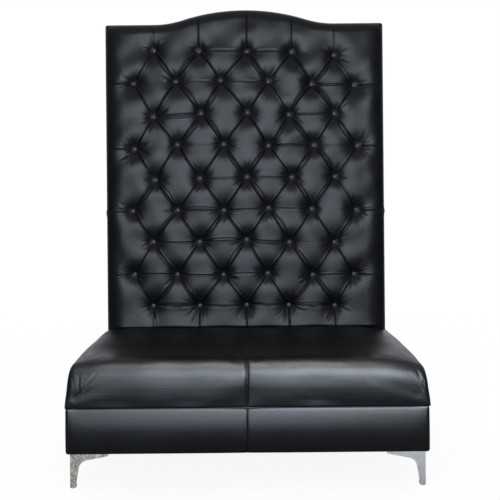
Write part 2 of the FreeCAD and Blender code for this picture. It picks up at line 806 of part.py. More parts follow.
POST_PROFILE = [
    ("Places.post_inner_side", "Places.rail_bottom"),
    ("Places.rail_inner_side", "Places.rail_bottom"),
    ("Places.rail_inner_side", "Places.rail_top"),
    ("Places.frame_side", "Places.rail_top"),
    ("Places.frame_side", "Places.top_rail_bottom"),
    ("Places.post_inner_side", "Places.top_rail_bottom"),
]
for side, sign in SIDES:
    body = doc.addObject("PartDesign::Body", f"{side}_post")
    profile = [(x if sign > 0 else "-" + x, z) for x, z in POST_PROFILE]
    sketch = outline_sketch(body, "XZ_Plane", f"{side}_post_outline", profile, {})
    pad(body, sketch, "Places.frame_rear - Places.board_rear", backwards=True)
    body.setExpression("Placement.Base.y", "Places.board_rear")
    drilled(f"back_{side}_post", body)

for label, level in (
    ("back_upper_rail", "Places.top_row - 1.5 * Sizes.button_pitch_up"),
    ("back_middle_rail", "Places.top_row - 4.5 * Sizes.button_pitch_up"),
    ("back_lower_rail", "Places.top_row - 7.5 * Sizes.button_pitch_up"),
    ("back_bottom_rail", "Places.box_top + Sizes.back_rail_height / 2"),
):
    keep(box(
        label + "_timber", "-Places.post_inner_side", "Places.post_inner_side",
        "Places.board_rear", "Places.frame_rear",
        f"{level} - Sizes.back_rail_height / 2", f"{level} + Sizes.back_rail_height / 2",
    ), label)
keep(camelback_blank(
    "crest_rail", "inner_crest", "Places.board_rear", "Places.frame_rear", "Places.top_rail_bottom",
), "back_top_rail")


# Deep buttoning: where the buttons stand

def button_rows():
    """Button centres by row from the top; odd rows hold five, even rows six with drawn-in ends."""
    pitch, rise = place["button_pitch_across"], size["button_pitch_up"]
    rows = []
    for number, wanders in enumerate(BUTTON_WANDER_SHARES):
        middle = (len(wanders) - 1) / 2
        row = []
        for index, (across, up) in enumerate(wanders):
            x = (index - middle) * pitch
            if len(wanders) > len(BUTTON_WANDER_SHARES[0]) and index in (0, len(wanders) - 1):
                x -= math.copysign(size["end_button_draw"], x)
            z = place["top_row"] - number * rise
            row.append(Vector(
                x + across * HUNDREDTH_SHARE * pitch,
                place["back_front"] + size["button_seat_depth"],
                z + up * HUNDREDTH_SHARE * rise,
            ))
        rows.append(row)
    return rows


BUTTONS = button_rows()
EVERY_BUTTON = [button for row in BUTTONS for button in row]


def along_back(points, begin, end, radius, sides):
    """Rods from one depth of the back to another, one behind each button."""
    return Part.makeCompound([
        rod(Vector(at.x, begin, at.z), BACKWARDS, end - begin, radius, sides) for at in points
    ])


button_bores = feature("button_bores", along_back(
    EVERY_BUTTON, place["seam_plane"] - overrun, place["board_rear"] + overrun,
    size["bore_radius"], TWINE_SIDES,
))
for label, front, back in (
    ("back_foam", "Places.seam_plane", "Places.board_front"),
    ("tufting_board", "Places.board_front", "Places.board_rear"),
):
    blank = camelback_blank(f"{label}_blank", "inner_crest", front, back, "Places.box_top")
    keep(cut(f"{label}_bored", blank, button_bores), label)


# Deep buttoning: the pleated leather and its filling, one curved patch for each face of a puff

BUTTON_LEVEL = place["back_front"] + size["button_seat_depth"]
PLEAT_LEVEL = place["back_front"] + size["pleat_depth"]
CROWN_LEVEL = place["back_front"]
SEAM_LEVEL = place["seam_plane"]
BORDER_SIDE = place["side"] - size["border_seam_setin"]


def inner_level(middle, first, last):
    """The level of both inner control points of a cubic that passes through a middle level."""
    return (8 * middle - first - last) / 6


PLEAT_CONTROL = inner_level(PLEAT_LEVEL, BUTTON_LEVEL, BUTTON_LEVEL)
CREST_CONTROL = inner_level(CROWN_LEVEL, BUTTON_LEVEL, SEAM_LEVEL)
PUFF_CONTROL = (64 * CROWN_LEVEL - 4 * BUTTON_LEVEL - 24 * PLEAT_CONTROL) / 36


def top_height(x):
    """The height of the camelback seam above a place across the back."""
    setin = size["border_seam_setin"]
    share = (size["crown_radius"] - setin) / place["centre_gap"]
    across = min(abs(x), place["hollow_centre_side"])
    if across < place["hollow_centre_side"] * share:
        radius = size["crown_radius"] - setin
        return place["crown_centre"] + math.sqrt(radius**2 - across**2)
    radius = size["hollow_radius"] + setin
    return place["hollow_centre"] - math.sqrt(
        radius**2 - (place["hollow_centre_side"] - across) ** 2
    )


def on_top(x):
    return Vector(x, SEAM_LEVEL, top_height(x))


def on_foot(x):
    return Vector(x, SEAM_LEVEL, place["box_top"])


def on_side(sign, z):
    return Vector(sign * BORDER_SIDE, SEAM_LEVEL, z)


def top_corner(sign):
    """The rounded shoulder corner, taken at the middle of its arc."""
    cut_off = (size["shoulder_radius"] - size["border_seam_setin"]) * (1 - math.sqrt(0.5))
    return Vector(sign * (BORDER_SIDE - cut_off), SEAM_LEVEL, top_height(BORDER_SIDE) - cut_off)


def inner_points(start, end, shares, level):
    return [Vector(at.x, level, at.z) for at in (start + (end - start) * s for s in shares)]


def cubic_through(start, near, far, end):
    """The control points of a cubic that passes through four points a third apart."""
    first = (start * -5 + near * 18 - far * 9 + end * 2) / 6
    second = (start * 2 - near * 9 + far * 18 - end * 5) / 6
    return [start, first, second, end]


def edge_points(kind, start, end):
    """The four control points of one edge of a patch, and the shares where the inner two stand."""
    if kind == "pleat":
        return [start, *inner_points(start, end, BUTTON_TO_BUTTON_SHARES, PLEAT_CONTROL), end], \
            BUTTON_TO_BUTTON_SHARES
    if kind == "top":
        near, far = (on_top(start.x + (end.x - start.x) * share) for share in THIRD_SHARES)
        return cubic_through(start, near, far, end), THIRD_SHARES
    if kind == "straight":
        return [start, *inner_points(start, end, THIRD_SHARES, SEAM_LEVEL), end], THIRD_SHARES
    middle = PLEAT_LEVEL if kind == "outward_pleat" else CROWN_LEVEL
    level = inner_level(middle, BUTTON_LEVEL, SEAM_LEVEL)
    return [start, *inner_points(start, end, BUTTON_TO_BORDER_SHARES, level), end], \
        BUTTON_TO_BORDER_SHARES


def patch(corners, kinds, level):
    """One curved face from four corners a, b, c, d and the kinds of its edges ab, bc, dc and ad."""
    a, b, c, d = corners
    ends = ((a, b), (b, c), (d, c), (a, d))
    (low, low_s), (right, right_s), (high, high_s), (left, left_s) = (
        edge_points(kind, *pair) for kind, pair in zip(kinds, ends)
    )
    poles = [[None] * 4 for _ in range(4)]
    for i in range(4):
        poles[i][0], poles[i][3] = low[i], high[i]
        poles[0][i], poles[3][i] = left[i], right[i]
    for i in (1, 2):
        u = (low_s[i - 1] + high_s[i - 1]) / 2
        for j in (1, 2):
            v = (left_s[j - 1] + right_s[j - 1]) / 2
            blend = low[i] * (1 - v) + high[i] * v + left[j] * (1 - u) + right[j] * u
            bilinear = (a * (1 - u) + b * u) * (1 - v) + (d * (1 - u) + c * u) * v
            at = blend - bilinear
            poles[i][j] = Vector(at.x, level, at.z)
    surface = Part.BezierSurface()
    surface.increase(3, 3)
    for i in range(4):
        for j in range(4):
            surface.setPole(i + 1, j + 1, poles[i][j])
    return surface


def diamond_patches():
    """The whole diamonds, each between four buttons."""
    for middle in range(1, len(BUTTONS) - 1):
        row, above, below = BUTTONS[middle], BUTTONS[middle - 1], BUTTONS[middle + 1]
        step = 0 if len(row) > len(above) else 1
        for index in range(len(row) - 1):
            corners = (above[index + step], row[index + 1], below[index + step], row[index])
            yield patch(corners, ("pleat",) * 4, PUFF_CONTROL)


def open_patches(row, inner_row, edge_of, along):
    """The half diamonds between an outer row of buttons and the top or the foot of the back."""
    for index, (left, right) in enumerate(zip(row, row[1:])):
        inner = inner_row[index + 1]
        for button in (left, right):
            corners = (button, edge_of(button.x), edge_of(inner.x), inner)
            yield patch(corners, ("outward_pleat", along, "crest", "pleat"), CREST_CONTROL)


def side_patches(sign):
    """The cells between the end buttons and one side, with a pleat from every other row."""
    ends = [row[-1 if sign > 0 else 0] for row in BUTTONS]
    for number, (upper, lower) in enumerate(zip(ends, ends[1:])):
        kinds = ("crest", "outward_pleat") if number % 2 == 0 else ("outward_pleat", "crest")
        corners = (upper, on_side(sign, upper.z), on_side(sign, lower.z), lower)
        yield patch(corners, (kinds[0], "straight", kinds[1], "pleat"), CREST_CONTROL)
    for end, edge_of, corner, along in (
        (ends[0], on_top, top_corner(sign), "top"),
        (ends[-1], on_foot, on_side(sign, place["box_top"]), "straight"),
    ):
        corners = (end, edge_of(end.x), corner, on_side(sign, end.z))
        yield patch(corners, ("outward_pleat", along, "straight", "crest"), CREST_CONTROL)


def flats(surface):
    """The small flat triangles that stand for one curved patch."""
    grid = []
    for u in FLAT_SHARES:
        points = [surface.value(u, v) for v in FLAT_SHARES]
        grid.append([Vector(at.x, max(at.y, CROWN_LEVEL), at.z) for at in points])
    for row, after in zip(grid, grid[1:]):
        for a, b, c, d in zip(row, after, after[1:], row[1:]):
            yield flat_face([a, b, c])
            yield flat_face([a, c, d])


def tufted_shape():
    """The buttoned front as one solid: the flats of every patch, sewn to a flat rear face."""
    surfaces = [
        *diamond_patches(),
        *open_patches(BUTTONS[0], BUTTONS[1], on_top, "top"),
        *open_patches(BUTTONS[-1], BUTTONS[-2], on_foot, "straight"),
        *side_patches(-1),
        *side_patches(1),
    ]
    faces = [face for surface in surfaces for face in flats(surface)]
    flush = SEAM_LEVEL - size["clearance"]
    rim = [edge for face in faces for edge in face.Edges if edge.BoundBox.YMin > flush]
    rear = Part.Face(Part.Wire(Part.__sortEdges__(rim)))
    shell = Part.makeShell(faces + [rear])
    shell.sewShape()
    return closed_solid(shell)


keep(feature("tufted_leather", tufted_shape()), "tufted_back_cover")


def button(at):
    """A covered button: a flat-faced dome, its rim, and the tip that the twine draws in."""
    stations = [
        (-size["button_face_lift"], size["button_face_radius"]),
        (-size["button_rim_lift"], size["button_radius"]),
        (-size["button_tip_lift"], size["button_tip_radius"]),
    ]
    return few_sided(Vector(at.x, BUTTON_LEVEL, at.z), BACKWARDS, stations, BUTTON_SIDES)


def toggle(at):
    """The small block behind the board that the twine is tied round."""
    half, thick = size["toggle_length"] / 2, size["toggle_thickness"]
    corner = Vector(at.x - thick / 2, place["board_rear"], at.z - half)
    return Part.makeBox(thick, thick, size["toggle_length"], corner)


keep(feature("buttons", Part.makeCompound([button(at) for at in EVERY_BUTTON])), "tuft_buttons")
keep(feature("twines", along_back(
    EVERY_BUTTON, SEAM_LEVEL, place["board_rear"], size["twine_radius"], TWINE_SIDES,
)), "button_twines")
keep(feature("toggles", Part.makeCompound([toggle(at) for at in EVERY_BUTTON])), "twine_toggles")


# Borders: padded leather round the sides and top of the back, fullest just behind the front seam

def border_form(inset, below):
    """The whole back as a block with full edges, an inset inside the border leather."""
    seam, skin = place["seam_plane"], place["skin_rear"]
    foot = place["box_top"] - below
    wires = [
        camelback_wire(setin + inset, level, foot)
        for setin, level in (
            (size["border_seam_setin"], seam),
            (0, seam + size["border_full_setback"]),
            (size["border_rear_setin"], skin),
        )
    ]
    return Part.makeLoft(wires, True, True)


def slab(low, high, sign=0):
    """A block over one half or the whole width of the back, between two heights."""
    reach = place["side"] + overrun
    west = 0 if sign > 0 else -reach
    wide = reach if sign else 2 * reach
    return Part.makeBox(wide, size["overall_depth"], high - low, Vector(west, 0, low))


border_skin = border_form(0, 0)
border_leather = border_skin.cut(border_form(leather, overrun))
core_wire = camelback_wire(place["cover_stack"], place["seam_plane"] - overrun,
                           place["box_top"] - overrun)
core = Part.Face(core_wire).extrude(BACKWARDS * (size["back_depth"] + overrun))
keep(feature("border_wadding", border_form(leather, 0).cut(core)), "border_padding")

join = size["border_join_height"]
lap_half = size["border_lap_height"] / 2
top_seam = place["shoulder"] - size["shoulder_radius"]
border_lap = border_form(-size["border_lap_proud"], 0).cut(border_skin)
for side, sign in SIDES:
    lower = border_leather.common(slab(place["box_top"], join, sign))
    upper = border_leather.common(slab(join, top_seam, sign))
    lap = border_lap.common(slab(join - lap_half, join + lap_half, sign))
    keep(feature(f"{side}_lower_border", lower), f"{side}_border_lower")
    keep(feature(f"{side}_upper_border", upper.fuse(lap)), f"{side}_border_upper")
top_leather = border_leather.common(slab(top_seam, size["overall_height"] + overrun))
keep(feature("top_leather", top_leather), "top_border")


# Outside back

keep(camelback_blank(
    "rear_panel", "inner_crest", "Places.frame_rear", "Places.panel_rear", "Places.rail_bottom",
), "outside_back_panel")
keep(camelback_blank(
    "rear_wadding", "inner_crest", "Places.panel_rear", "Places.skin_rear", "Places.rail_bottom",
), "outside_back_wadding")
rear_leather = camelback_blank(
    "rear_leather", "outer_crest", "Places.skin_rear", "Places.rear", "Places.box_bottom",
)
for half, bottom, top in (
    ("lower", "Places.box_bottom", "Sizes.border_join_height"),
    ("upper", "Sizes.border_join_height", "Sizes.overall_height"),
):
    window = box(
        f"{half}_window", "-Places.side", "Places.side", "Places.board_rear", "Places.rear",
        bottom, top,
    )
    part = doc.addObject("Part::Common", f"{half}_rear_leather")
    part.Base = rear_leather
    part.Tool = window
    keep(part, f"outside_back_{half}")


# Checks and files

doc.recompute()
failed = [obj.Name for obj in doc.Objects if {"Invalid", "Error"} & set(obj.State)]
failed += [
    label for label, obj in nodes.items()
    if obj.Shape.isNull() or not obj.Shape.isValid() or not obj.Shape.Solids
]
if failed:
    raise RuntimeError("these objects did not come out: " + ", ".join(sorted(set(failed))))
os.makedirs("parts", exist_ok=True)
for label, obj in nodes.items():
    obj.Shape.exportStep(f"parts/{label}.step")
    print(label, len(obj.Shape.Solids), "solids", round(obj.Shape.Volume / 1000), "cm3")
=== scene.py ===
# %% [markdown]
# # A deep buttoned banquette in black leather
# The timber frame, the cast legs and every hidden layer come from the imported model. This lesson dresses
# them: a back that is deep buttoned in diamonds, a tight seat in two halves, padded aprons, borders
# round the back, and the leather and metal that make them look real. Lengths are in metres.

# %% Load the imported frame
import json
import math

import bmesh
import bpy
import numpy as np
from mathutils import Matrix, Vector
from mathutils.kdtree import KDTree

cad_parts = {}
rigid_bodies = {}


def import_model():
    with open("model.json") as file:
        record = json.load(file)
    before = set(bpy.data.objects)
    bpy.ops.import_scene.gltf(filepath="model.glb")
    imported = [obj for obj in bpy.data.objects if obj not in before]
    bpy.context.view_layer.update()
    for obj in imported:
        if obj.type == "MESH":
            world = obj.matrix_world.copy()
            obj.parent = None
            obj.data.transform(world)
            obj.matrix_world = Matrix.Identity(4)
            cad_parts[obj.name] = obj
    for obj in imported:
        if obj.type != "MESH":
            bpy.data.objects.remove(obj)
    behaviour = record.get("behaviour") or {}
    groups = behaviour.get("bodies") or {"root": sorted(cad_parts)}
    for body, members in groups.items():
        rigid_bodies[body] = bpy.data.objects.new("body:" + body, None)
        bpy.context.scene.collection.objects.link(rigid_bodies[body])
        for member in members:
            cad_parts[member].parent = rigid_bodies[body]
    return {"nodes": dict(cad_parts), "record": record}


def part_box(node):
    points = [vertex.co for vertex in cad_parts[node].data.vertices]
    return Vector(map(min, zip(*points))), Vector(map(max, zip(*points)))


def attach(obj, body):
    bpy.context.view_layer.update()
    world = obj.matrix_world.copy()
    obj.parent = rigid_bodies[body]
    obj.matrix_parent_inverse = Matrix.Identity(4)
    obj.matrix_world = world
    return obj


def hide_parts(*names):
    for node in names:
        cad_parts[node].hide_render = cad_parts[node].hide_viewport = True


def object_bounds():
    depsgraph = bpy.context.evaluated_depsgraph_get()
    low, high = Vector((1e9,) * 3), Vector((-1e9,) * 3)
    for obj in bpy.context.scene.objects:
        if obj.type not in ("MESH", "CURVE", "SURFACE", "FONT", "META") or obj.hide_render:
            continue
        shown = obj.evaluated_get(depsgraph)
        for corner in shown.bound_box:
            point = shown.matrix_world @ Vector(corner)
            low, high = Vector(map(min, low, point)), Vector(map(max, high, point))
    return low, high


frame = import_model()
nodes = frame["nodes"]
cad_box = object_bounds()
MM = 0.001
SEED = 7
print("frame:", len(nodes), "nodes, box", [tuple(round(c, 4) for c in corner) for corner in cad_box])

# %% [markdown]
# The places that the dressing shares are read from the frame, so that every new piece sits where the
# solids are. The camelback line is the one shape that a box can't give, so its arcs are written here
# again: a crown arc, a hollow arc on each side, then level shoulders.

# %% Places read from the frame
back_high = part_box("tufted_back_cover")[1]
seat_low, seat_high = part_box("seat_cover_right")
apron_low, apron_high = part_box("apron_front_cover_right")
HALF_WIDTH = apron_high.x
FRONT, REAR = apron_low.y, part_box("outside_back_upper")[1].y
BOX_BOTTOM, BOX_TOP = apron_low.z, apron_high.z
SEAM_PLANE = back_high.y
PUFF_DEPTH, CROWN_RISE = 42 * MM, 61 * MM
BACK_FRONT = SEAM_PLANE - PUFF_DEPTH
CROWN_HEIGHT = cad_box[1].z
SHOULDER = CROWN_HEIGHT - CROWN_RISE
CROWN_RADIUS, HOLLOW_RADIUS = 900 * MM, 423 * MM
CROWN_CENTRE = CROWN_HEIGHT - CROWN_RADIUS
HOLLOW_CENTRE = SHOULDER + HOLLOW_RADIUS
CENTRE_GAP = CROWN_RADIUS + HOLLOW_RADIUS
HOLLOW_SIDE = math.sqrt(CENTRE_GAP**2 - (HOLLOW_CENTRE - CROWN_CENTRE) ** 2)
LEATHER = 1.5 * MM


def top_line(x, inset):
    """The height of the camelback at places across the back, an inset inside the silhouette."""
    across = np.minimum(np.abs(x), HOLLOW_SIDE)
    crown = CROWN_RADIUS - inset
    hollow = HOLLOW_RADIUS + inset
    on_crown = CROWN_CENTRE + np.sqrt(np.maximum(crown**2 - across**2, 0))
    in_hollow = HOLLOW_CENTRE - np.sqrt(np.maximum(hollow**2 - (HOLLOW_SIDE - across) ** 2, 0))
    return np.where(across < HOLLOW_SIDE * crown / CENTRE_GAP, on_crown, in_hollow)


print("crown", round(float(top_line(0.0, 0.0)), 4), "shoulder", round(float(top_line(0.6, 0.0)), 4))

# %% [markdown]
# Every new piece is a mesh whose object stays at the origin. A small helper turns arrays of points
# and faces into such a piece, with smooth shading and its material. Another lets a piece ride on the
# one body of this object and hides the plain solids that it stands for.

# %% Helpers for new pieces
def nothing_selected():
    bpy.ops.object.select_all(action="DESELECT")


def piece(name, points, faces, material):
    """A smooth shaded mesh from arrays of points and faces."""
    mesh = bpy.data.meshes.new(name)
    mesh.from_pydata([tuple(p) for p in points], [], [tuple(int(i) for i in f) for f in faces])
    mesh.validate()
    mesh.materials.append(material)
    mesh.shade_smooth()
    obj = bpy.data.objects.new(name, mesh)
    bpy.context.scene.collection.objects.link(obj)
    return obj


def dress(obj, slot, *stands_for, fill=None):
    """Lets a finished piece ride on the frame and hides the solids it stands for; the finish it is given
    is not used.
    """
    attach(obj, "root")
    if stands_for:
        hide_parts(*stands_for)
    print(obj.name, len(obj.data.vertices), "points")
    return obj


def only(obj):
    """Selects one object and makes it the active one, as a click would."""
    nothing_selected()
    obj.select_set(True)
    bpy.context.view_layer.objects.active = obj


def merged(obj, distance=0.02 * MM):
    """Merges points that lie together and turns all faces outwards."""
    work = bmesh.new()
    work.from_mesh(obj.data)
    bmesh.ops.remove_doubles(work, verts=work.verts, dist=distance)
    bmesh.ops.recalc_face_normals(work, faces=work.faces)
    work.to_mesh(obj.data)
    work.free()
    return obj


def grid_faces(rows, columns, start=0):
    """Quads between neighbouring points of a grid that is stored row by row."""
    index = start + np.arange(rows * columns).reshape(rows, columns)
    corners = (index[:-1, :-1], index[:-1, 1:], index[1:, 1:], index[1:, :-1])
    return np.stack([c.ravel() for c in corners], axis=1)


def closed_form(name, sections, material):
    """A closed form from a row of sections, each of which is a loop of points."""
    rows, columns = sections.shape[:2]
    index = np.arange(rows * columns).reshape(rows, columns)
    last_side = np.stack([index[:-1, -1], index[1:, -1], index[1:, 0], index[:-1, 0]], axis=1)
    faces = [*grid_faces(rows, columns), *last_side, index[0], index[-1]]
    return merged(piece(name, sections.reshape(-1, 3), faces, material))


def points_of(obj):
    flat = np.empty(3 * len(obj.data.vertices), dtype=np.float32)
    obj.data.vertices.foreach_get("co", flat)
    return flat.reshape(-1, 3).astype(float)


# %% [markdown]
# ## Materials
# The leather is black and half glossy. Its gloss carries the look, so the grain is kept fine: small
# pebbles from a cell pattern, broken by noise, raise the surface by a few hundredths of a millimetre.
# A coarser noise breaks up the highlights, most of all on the seat, and wide soft patches change how
# rough the hide is. One recipe serves all four leathers. A material is a tree of nodes, so a helper
# adds a node and sets its inputs, each to a plain value or to what another node gives.

# %% Node helpers
def new_material(name):
    material = bpy.data.materials.new(name)
    material.use_nodes = True
    tree = material.node_tree
    return material, tree, tree.nodes["Principled BSDF"]


def set_inputs(tree, node, inputs):
    """Links an input to the output of another node, or sets it to a plain value."""
    for key, value in inputs.items():
        if isinstance(value, bpy.types.NodeSocket):
            tree.links.new(value, node.inputs[key])
        else:
            node.inputs[key].default_value = value
    return node


def add(tree, kind, inputs, **options):
    """A new node, with its options chosen and its inputs set."""
    node = tree.nodes.new("ShaderNode" + kind)
    for name, value in options.items():
        setattr(node, name, value)
    return set_inputs(tree, node, inputs)


def here(tree):
    """The place of a point in its own piece, which every pattern is fixed to."""
    return add(tree, "TexCoord", {}).outputs["Object"]


def noise(tree, scale, detail=3.0, roughness=0.5, distortion=0.0, place=None):
    return add(tree, "TexNoise", {
        "Vector": here(tree) if place is None else place, "Scale": scale, "Detail": detail,
        "Roughness": roughness, "Distortion": distortion,
    }).outputs["Fac"]


def streaks(tree, scale, squash, detail, distortion=0.0):
    """A noise that is drawn out upwards, as brush marks and grain are."""
    stretch = add(tree, "Mapping", {"Vector": here(tree), "Scale": (scale, scale, scale * squash)})
    return noise(tree, 1.0, detail, 0.5, distortion, stretch.outputs["Vector"])


def spread(tree, source, low, high, out_low, out_high):
    """Stretches a pattern between two values to another pair of values."""
    return add(tree, "MapRange", {
        "Value": source, "From Min": low, "From Max": high, "To Min": out_low, "To Max": out_high,
    }).outputs["Result"]


def raised(tree, height, strength, distance, before=None):
    """A bump of a given height in metres, on top of an earlier one."""
    inputs = {"Height": height, "Strength": strength, "Distance": distance}
    if before is not None:
        inputs["Normal"] = before
    return add(tree, "Bump", inputs).outputs["Normal"]


def mixed(tree, factor, first, second):
    """A blend of two colours, plain ones or those that other nodes give."""
    inputs = {"Factor": factor, "A": first, "B": second}
    return add(tree, "Mix", inputs, data_type="RGBA").outputs["Result"]


def two_colours(tree, factor, first, second):
    return mixed(tree, factor, (*first, 1), (*second, 1))


# %% Leather
def make_leather(name, dark, light, rough_low, rough_high, mottle):
    """Black upholstery leather: fine pebbles, pores, and soft patches of more and less gloss."""
    material, tree, shader = new_material(name)
    patches = noise(tree, 9.0, 3.0, 0.55)
    cells = {"Vector": here(tree), "Scale": 950.0}
    pebbles = add(tree, "TexVoronoi", cells, feature="DISTANCE_TO_EDGE").outputs["Distance"]
    normal = raised(tree, spread(tree, pebbles, 0.0, 0.25, 0.0, 1.0), 0.35, 0.12 * MM)
    normal = raised(tree, noise(tree, 420.0, 4.0, 0.6), 0.3, 0.4 * MM, normal)
    normal = raised(tree, noise(tree, 230.0, 3.0, 0.6, 0.5), 1.0, mottle, normal)
    set_inputs(tree, shader, {
        "Base Color": two_colours(tree, patches, dark, light),
        "Roughness": spread(tree, patches, 0.3, 0.7, rough_low, rough_high),
        "Normal": normal, "IOR": 1.5, "Specular IOR Level": 0.5,
    })
    return material


DEEP_BLACK, SOFT_BLACK = (0.0042, 0.0044, 0.005), (0.007, 0.0074, 0.0086)
SEAT_BLACK, SEAT_SOFT_BLACK = (0.0026, 0.0026, 0.0029), (0.0042, 0.0043, 0.0049)
# the buttons' and the welt's greys are a painted highlight, far lighter than the black hide round them
BUTTON_PAINTED_HIGHLIGHT_GREY, BUTTON_PAINTED_HIGHLIGHT_LIGHT_GREY = (0.08, 0.082, 0.09), (0.1, 0.103, 0.112)
back_leather = make_leather("back_leather", DEEP_BLACK, SOFT_BLACK, 0.29, 0.36, 0.2 * MM)
seat_leather = make_leather("seat_leather", SEAT_BLACK, SEAT_SOFT_BLACK, 0.19, 0.27, 0.7 * MM)
border_leather = make_leather("border_leather", DEEP_BLACK, SOFT_BLACK, 0.32, 0.4, 0.3 * MM)
highlight_painted_leather = make_leather("highlight_painted_leather", BUTTON_PAINTED_HIGHLIGHT_GREY, BUTTON_PAINTED_HIGHLIGHT_LIGHT_GREY, 0.3, 0.4, 0.2 * MM)

# %% [markdown]
# The top of the seat is duller than its front, because people sit there and dust settles on it. The
# change comes with the height, over one centimetre just below the crown: less mirror, more roughness.

# %% The seat's duller top
FULL_MIRROR, DULL_MIRROR = 0.75, 0.15
EXTRA_ROUGHNESS = 0.2


def dull_top(material, start, stop):
    """Takes the mirror out of a hide between two heights."""
    tree = material.node_tree
    shader = tree.nodes["Principled BSDF"]
    height = add(tree, "SeparateXYZ", {"Vector": here(tree)}).outputs["Z"]
    gloss = shader.inputs["Roughness"].links[0].from_socket
    more = spread(tree, height, start, stop, 0, EXTRA_ROUGHNESS)
    set_inputs(tree, shader, {
        "Specular IOR Level": spread(tree, height, start, stop, FULL_MIRROR, DULL_MIRROR),
        "Roughness": add(tree, "Math", {0: gloss, 1: more}, operation="ADD").outputs["Value"],
    })


dull_top(seat_leather, 424 * MM, 434 * MM)
print("leathers:", [material.name for material in bpy.data.materials if "leather" in material.name])

# %% [markdown]
# The legs are cast and then brushed: fine lines along the wings, a little uneven, with small darker
# flecks. The two left legs are darker, warmer and more mottled than the others: partly wear, partly
# painted shade, because the right legs catch more light. The rest of the hidden pieces get plain
# working finishes, because they show if a cover is lifted: planed timber, plywood, foam, wadding,
# woven webbing and black dust cloth.

# %% Metal
def make_metal(name, colour, darker, rough_low, rough_high, line_scale):
    material, tree, shader = new_material(name)
    lines = streaks(tree, line_scale, 0.06, 6.0)
    cast = noise(tree, 80.0, 5.0, 0.7, 0.8)
    brushed = raised(tree, lines, 0.4, 0.2 * MM)
    set_inputs(tree, shader, {
        "Base Color": two_colours(tree, spread(tree, cast, 0.38, 0.56, 0, 1), darker, colour),
        "Roughness": spread(tree, lines, 0.3, 0.7, rough_low, rough_high),
        "Normal": raised(tree, cast, 0.3, 0.6 * MM, brushed),
        "Metallic": 1.0,
    })
    return material


leg_metal = make_metal("leg_metal", (0.95, 0.95, 0.95), (0.84, 0.84, 0.84), 0.4, 0.55, 500.0)
# the left legs' metal: its darker, warmer mottle is partly wear and partly painted shade
worn_and_shaded_metal = make_metal("worn_and_shaded_metal", (0.95, 0.9, 0.83), (0.4, 0.35, 0.3), 0.36, 0.6, 260.0)
zinc = make_metal("zinc", (0.6, 0.6, 0.56), (0.45, 0.44, 0.4), 0.3, 0.5, 900.0)


# %% Timber, board, foam and cloth
def plain_finish(material, light, dark, pattern, strength, height, rough):
    """Gives a material one pattern that changes its colour and raises its surface."""
    tree = material.node_tree
    set_inputs(tree, tree.nodes["Principled BSDF"], {
        "Base Color": two_colours(tree, pattern, dark, light),
        "Normal": raised(tree, pattern, strength, height),
        "Roughness": rough,
    })
    return material


def make_wood(name, light, dark, grain_scale):
    material, tree, _ = new_material(name)
    grain = streaks(tree, grain_scale, 0.1, 8.0, 1.2)
    return plain_finish(material, light, dark, grain, 0.3, 0.8 * MM, 0.62)


def make_cloth(name, light, dark, scale, height, rough=0.9):
    material, tree, _ = new_material(name)
    return plain_finish(material, light, dark, noise(tree, scale, 5.0, 0.65), 0.6, height, rough)


timber = make_wood("timber", (0.62, 0.45, 0.28), (0.42, 0.27, 0.15), 60.0)
plywood = make_wood("plywood", (0.58, 0.43, 0.27), (0.44, 0.3, 0.18), 35.0)
foam = make_cloth("foam", (0.8, 0.74, 0.55), (0.62, 0.55, 0.38), 700.0, 2 * MM)
wadding = make_cloth("wadding", (0.88, 0.88, 0.86), (0.74, 0.74, 0.72), 160.0, 3 * MM)
webbing = make_cloth("webbing", (0.05, 0.05, 0.05), (0.015, 0.015, 0.015), 900.0, 0.6 * MM)
hessian = make_cloth("hessian", (0.6, 0.5, 0.34), (0.4, 0.32, 0.2), 800.0, 0.8 * MM)
dust_cloth = make_cloth("dust_cloth", (0.025, 0.025, 0.027), (0.01, 0.01, 0.01), 1200.0, 0.3 * MM)
twine = make_cloth("twine", (0.7, 0.64, 0.5), (0.5, 0.44, 0.32), 1500.0, 0.4 * MM)
nylon = make_cloth("nylon", (0.03, 0.03, 0.03), (0.02, 0.02, 0.02), 300.0, 0.1 * MM, 0.45)

CAD_FINISHES = {
    "leather": back_leather, "leg_metal": leg_metal, "fasteners": zinc, "glides": nylon,
    "timber": timber, "board": plywood, "foam": foam, "wadding": wadding, "webbing": webbing,
    "deck_cloth": hessian, "dust_cloth": dust_cloth, "twine": twine,
}
for entry in frame["record"]["subparts"]:
    solid = nodes[entry["node"]]
    solid.data.materials.clear()
    solid.data.materials.append(CAD_FINISHES[entry["material_slot"]])
# the left legs get the darker metal: partly wear, partly painted shade
for name in ("front_left_leg", "rear_left_leg"):
    nodes[name].data.materials[0] = worn_and_shaded_metal
print("finishes:", len(bpy.data.materials))

# %% [markdown]
# ## The buttons' places
# The solids of the buttons say where each one stands. Their points are sorted into rows, because
# every pleat runs from a button to its neighbours in the next row.

# %% Sort the buttons into rows
BUTTON_PITCH_UP = 137.7 * MM
SAME_BUTTON = 30 * MM


def button_centres():
    """The middle of each button, across and up, from the points of their common solid."""
    found = []
    for x, _, z in points_of(nodes["tuft_buttons"]):
        near = [c for c in found if math.hypot(c[0][0] - x, c[0][1] - z) < SAME_BUTTON]
        if near:
            near[0].append((x, z))
        else:
            found.append([(x, z)])
    return [tuple(np.mean(np.unique(np.round(c, 5), axis=0), axis=0)) for c in found]


def sorted_rows(centres):
    top = max(z for _, z in centres)
    rows = {}
    for x, z in centres:
        rows.setdefault(round((top - z) / BUTTON_PITCH_UP), []).append((float(x), float(z)))
    return [sorted(rows[number]) for number in sorted(rows)]


ROWS = sorted_rows(button_centres())
BUTTONS = [button for row in ROWS for button in row]
print("buttons by row:", [len(row) for row in ROWS])

